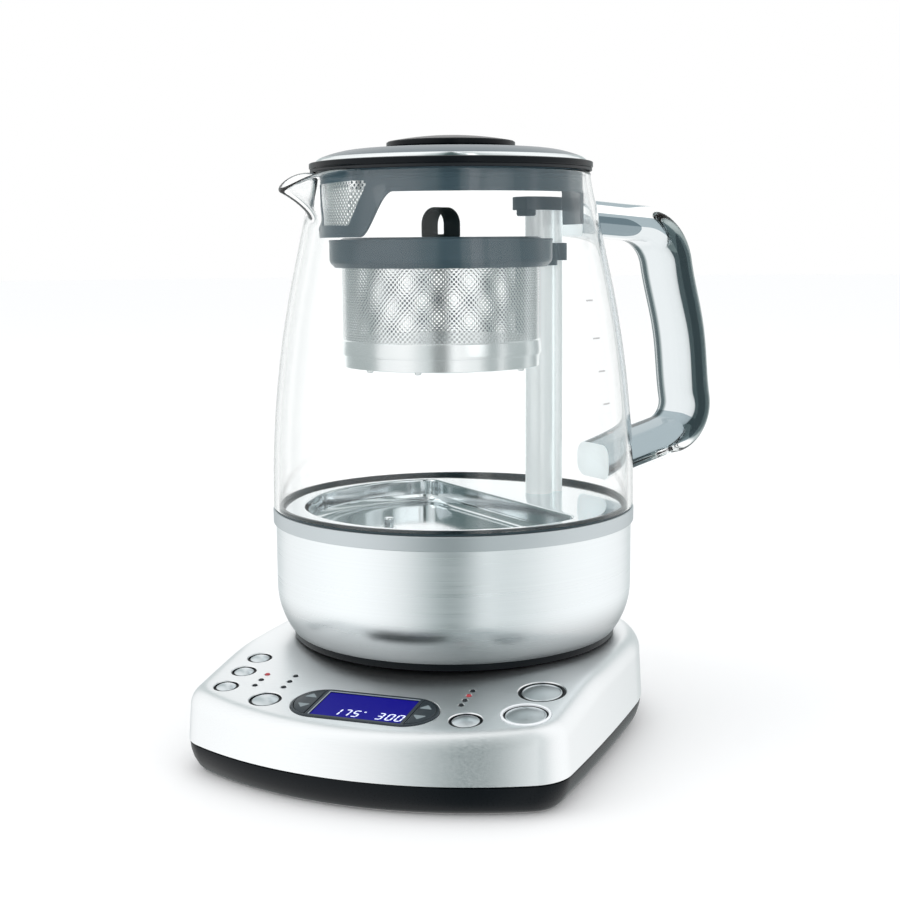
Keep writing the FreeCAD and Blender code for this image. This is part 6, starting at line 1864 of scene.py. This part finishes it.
@dataclass
class Studio:
    """Floor, lamps, surroundings and camera.

    Attributes:
        eye: the camera's place, mm.
        azimuth: its heading, degrees from +Y towards -X.
        dip: how far it looks down, degrees.
        yaw: a small turn left, degrees.
        roll: a small roll, degrees.
        lens: focal length, mm, on a 36 mm sensor.
        floor_radius: how far the floor reaches, mm.
    """

    eye: tuple = (232.1, -642.4, 220.1)
    azimuth: float = 19.87
    dip: float = 7.907
    yaw: float = -0.11
    roll: float = -0.44
    lens: float = 60.0
    floor_radius: float = 9000.0

    def build(self) -> None:
        """Sets up everything around the machine."""
        self.camera()
        self.surroundings()
        self.floor()
        self.lamps()
        bpy.context.scene.view_settings.view_transform = "Standard"

    def camera(self) -> None:
        """The camera: forward is (sin yaw cos dip, cos yaw cos dip, -sin dip) in axes turned by the azimuth."""
        turn, dip, yaw, roll = (radians(v) for v in (self.azimuth, self.dip, self.yaw, self.roll))
        axes = Matrix.Rotation(turn, 3, "Z")
        forward = axes @ Vector((sin(yaw) * cos(dip), cos(yaw) * cos(dip), -sin(dip)))
        right = axes @ Vector((cos(yaw), -sin(yaw), 0))
        up = right.cross(forward)
        right, up = cos(roll) * right + sin(roll) * up, cos(roll) * up - sin(roll) * right
        data = bpy.data.cameras.new("camera")
        data.lens, data.sensor_width, data.clip_start, data.clip_end = self.lens, 36.0, 0.01, 50.0
        pose = Matrix((right, up, -forward)).transposed().to_4x4()
        pose.translation = Vector(self.eye) * MM
        bpy.context.scene.camera = in_scene("camera", data)
        bpy.context.scene.camera.matrix_world = pose

    def surroundings(self) -> None:
        """A white room with grey gaps and a narrow light between its panels.

        The room's brightness goes by heading: a ramp over the angle of the ray's direction round the upright
        axis, counted from the way the camera looks back. The eye itself and the light on matt surfaces see a
        plain room.
        """
        world = bpy.data.worlds.new("studio")
        bpy.context.scene.world = world
        graph = Graph(world)
        graph.nodes.clear()
        place = graph.add("TexCoord").outputs["Generated"]
        turn = graph.add("Mapping", {"Vector": place, "Rotation": (0, 0, radians(self.azimuth))},
                         vector_type="TEXTURE")
        way = graph.add("SeparateXYZ", {"Vector": turn.outputs["Vector"]}).outputs
        back = graph.add("Math", {0: way["Y"], 1: -1.0}, operation="MULTIPLY").outputs["Value"]
        heading = graph.add("Math", {0: way["X"], 1: back}, operation="ARCTAN2").outputs["Value"]
        share = graph.add("MapRange", {"Value": heading, "From Min": -pi, "From Max": pi}).outputs["Result"]
        path = graph.add("LightPath").outputs
        seen = (0.99, 1.0, 1.01, 1.0)
        for ray, sight in (("Is Glossy Ray", self.ramp(graph, share, GLOSS_ROOM)),
                           ("Is Transmission Ray", self.ramp(graph, share, CLEAR_ROOM)),
                           ("Is Camera Ray", (1.0, 1.0, 1.0, 1.0))):
            mix = graph.add("Mix", {"Factor": path[ray], "A": seen, "B": sight}, data_type="RGBA")
            seen = mix.outputs["Result"]
        light = graph.add("Background", {"Color": seen}).outputs["Background"]
        graph.add("OutputWorld", {"Surface": light})

    @staticmethod
    def ramp(graph: Graph, share: NodeSocket, stops: tuple) -> NodeSocket:
        """A brightness ramp over heading. The darker stops are cooler: red is brightness^1.18.

        Args:
            graph: the world's nodes.
            share: the heading, from 0 to 1 over a whole turn.
            stops: (degrees from the look back, brightness).

        Returns:
            The ramp's colour.
        """
        node = graph.add("ValToRGB", {"Fac": share})
        node.color_ramp.interpolation = "EASE"
        elements = node.color_ramp.elements
        while len(elements) > 1:
            elements.remove(elements[-1])
        for number, (degrees, value) in enumerate(stops):
            position = (degrees + 180.0) / 360.0
            element = elements[0] if number == 0 else elements.new(position)
            element.position = position
            element.color = (min(value, value**1.18), value, value, 1.0)
        return node.outputs["Color"]



    def floor(self) -> None:
        """A pale matt floor. Reflections and what the glass bends see the room behind it instead."""
        piece = lathe("floor", rectangle(0.0, self.floor_radius, -20.0, 0.0), segments=64, closed=False)
        graph = Graph(bpy.data.materials.new("pale_floor"))
        graph.feed(graph.nodes["Principled BSDF"], {
            "Base Color": (0.92, 0.92, 0.92, 1.0), "Roughness": 1.0, "Specular IOR Level": 0.0,
            "Emission Color": (1, 1, 1, 1), "Emission Strength": FLOOR_GLOW})
        piece.data.materials.append(bpy.data.materials["pale_floor"])
        piece.visible_glossy = piece.visible_transmission = False

    def lamps(self) -> None:
        """Three large soft lamps: a key from the left, a fill from the right and one overhead."""
        aim = Vector((0, -20, 90)) * MM
        for name, place, size, watts in LAMPS:
            data = bpy.data.lights.new(name, "AREA")
            data.shape, data.energy = "RECTANGLE", watts
            data.size, data.size_y = size
            lamp = in_scene(name, data)
            lamp.visible_glossy = False
            lamp.location = Vector(place)
            lamp.rotation_mode = "QUATERNION"
            lamp.rotation_quaternion = (aim - Vector(place)).to_track_quat("-Z", "Y")


GLOSS_ROOM = ((-180, 1.1), (-168, 1.05), (-160, 0.6), (-148, 0.6), (-140, 1.0), (-60, 1.15), (-34, 1.0),
              (-16, 0.6), (-8, 0.35), (-5, 0.12), (5, 0.12), (9, 0.4), (14, 0.55), (16, 1.4), (22, 1.4),
              (25, 0.62), (44, 0.8), (70, 1.05), (100, 1.1), (140, 1.0), (148, 0.6), (160, 0.6), (168, 1.05),
              (180, 1.1))
CLEAR_ROOM = ((-180, 1.2), (-150, 1.2), (-143, 0.5), (-134, 0.3), (-122, 0.25), (-84, 0.25), (-72, 0.9),
              (-40, 1.0), (-14, 0.6), (-7, 0.05), (6, 0.05), (9, 0.8), (16, 1.3), (24, 1.0), (44, 0.8),
              (52, 0.25), (66, 0.25), (74, 0.9), (80, 0.3), (110, 0.3), (118, 0.8), (134, 0.35), (143, 0.4),
              (152, 1.2), (180, 1.2))
FLOOR_GLOW = 0.07
LAMPS = (("key", (-1.3, -1.0, 1.5), (1.2, 1.2), 5.0), ("fill", (1.6, -0.9, 0.9), (0.8, 1.4), 2.0),
         ("overhead", (0.0, 0.2, 2.0), (1.6, 1.6), 4.0))


def dress_frame(nodes: dict, materials: dict, record: dict) -> None:
    """Gives every frame node that still shows the finish of its slot.

    Args:
        nodes: the frame's nodes by name.
        materials: the finished materials by slot.
        record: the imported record, which says each node's slot.
    """
    slots = {row["node"]: row["material_slot"] for row in record["subparts"]}
    for name, node in nodes.items():
        if node.hide_render:
            continue
        slot = slots.get(name, Slot.INNER_PLASTIC.value)
        for place in node.material_slots:
            place.material = materials[Slot(slot)]
        if not node.material_slots:
            node.data.materials.append(materials[Slot(slot)])


def main() -> None:
    """Builds the machine round its frame, dresses it and sets up the studio."""
    logging.basicConfig(level=logging.INFO, format="%(name)s: %(message)s")
    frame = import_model()
    materials = {slot: finish.material(slot.value) for slot, finish in FINISHES.items()}
    for assembly in (PowerBase, Jug, Lid, Basket):
        assembly(frame["nodes"], materials).build()
    dress_frame(frame["nodes"], materials, frame["record"])
    Studio().build()


if __name__ == "__main__":
    main()
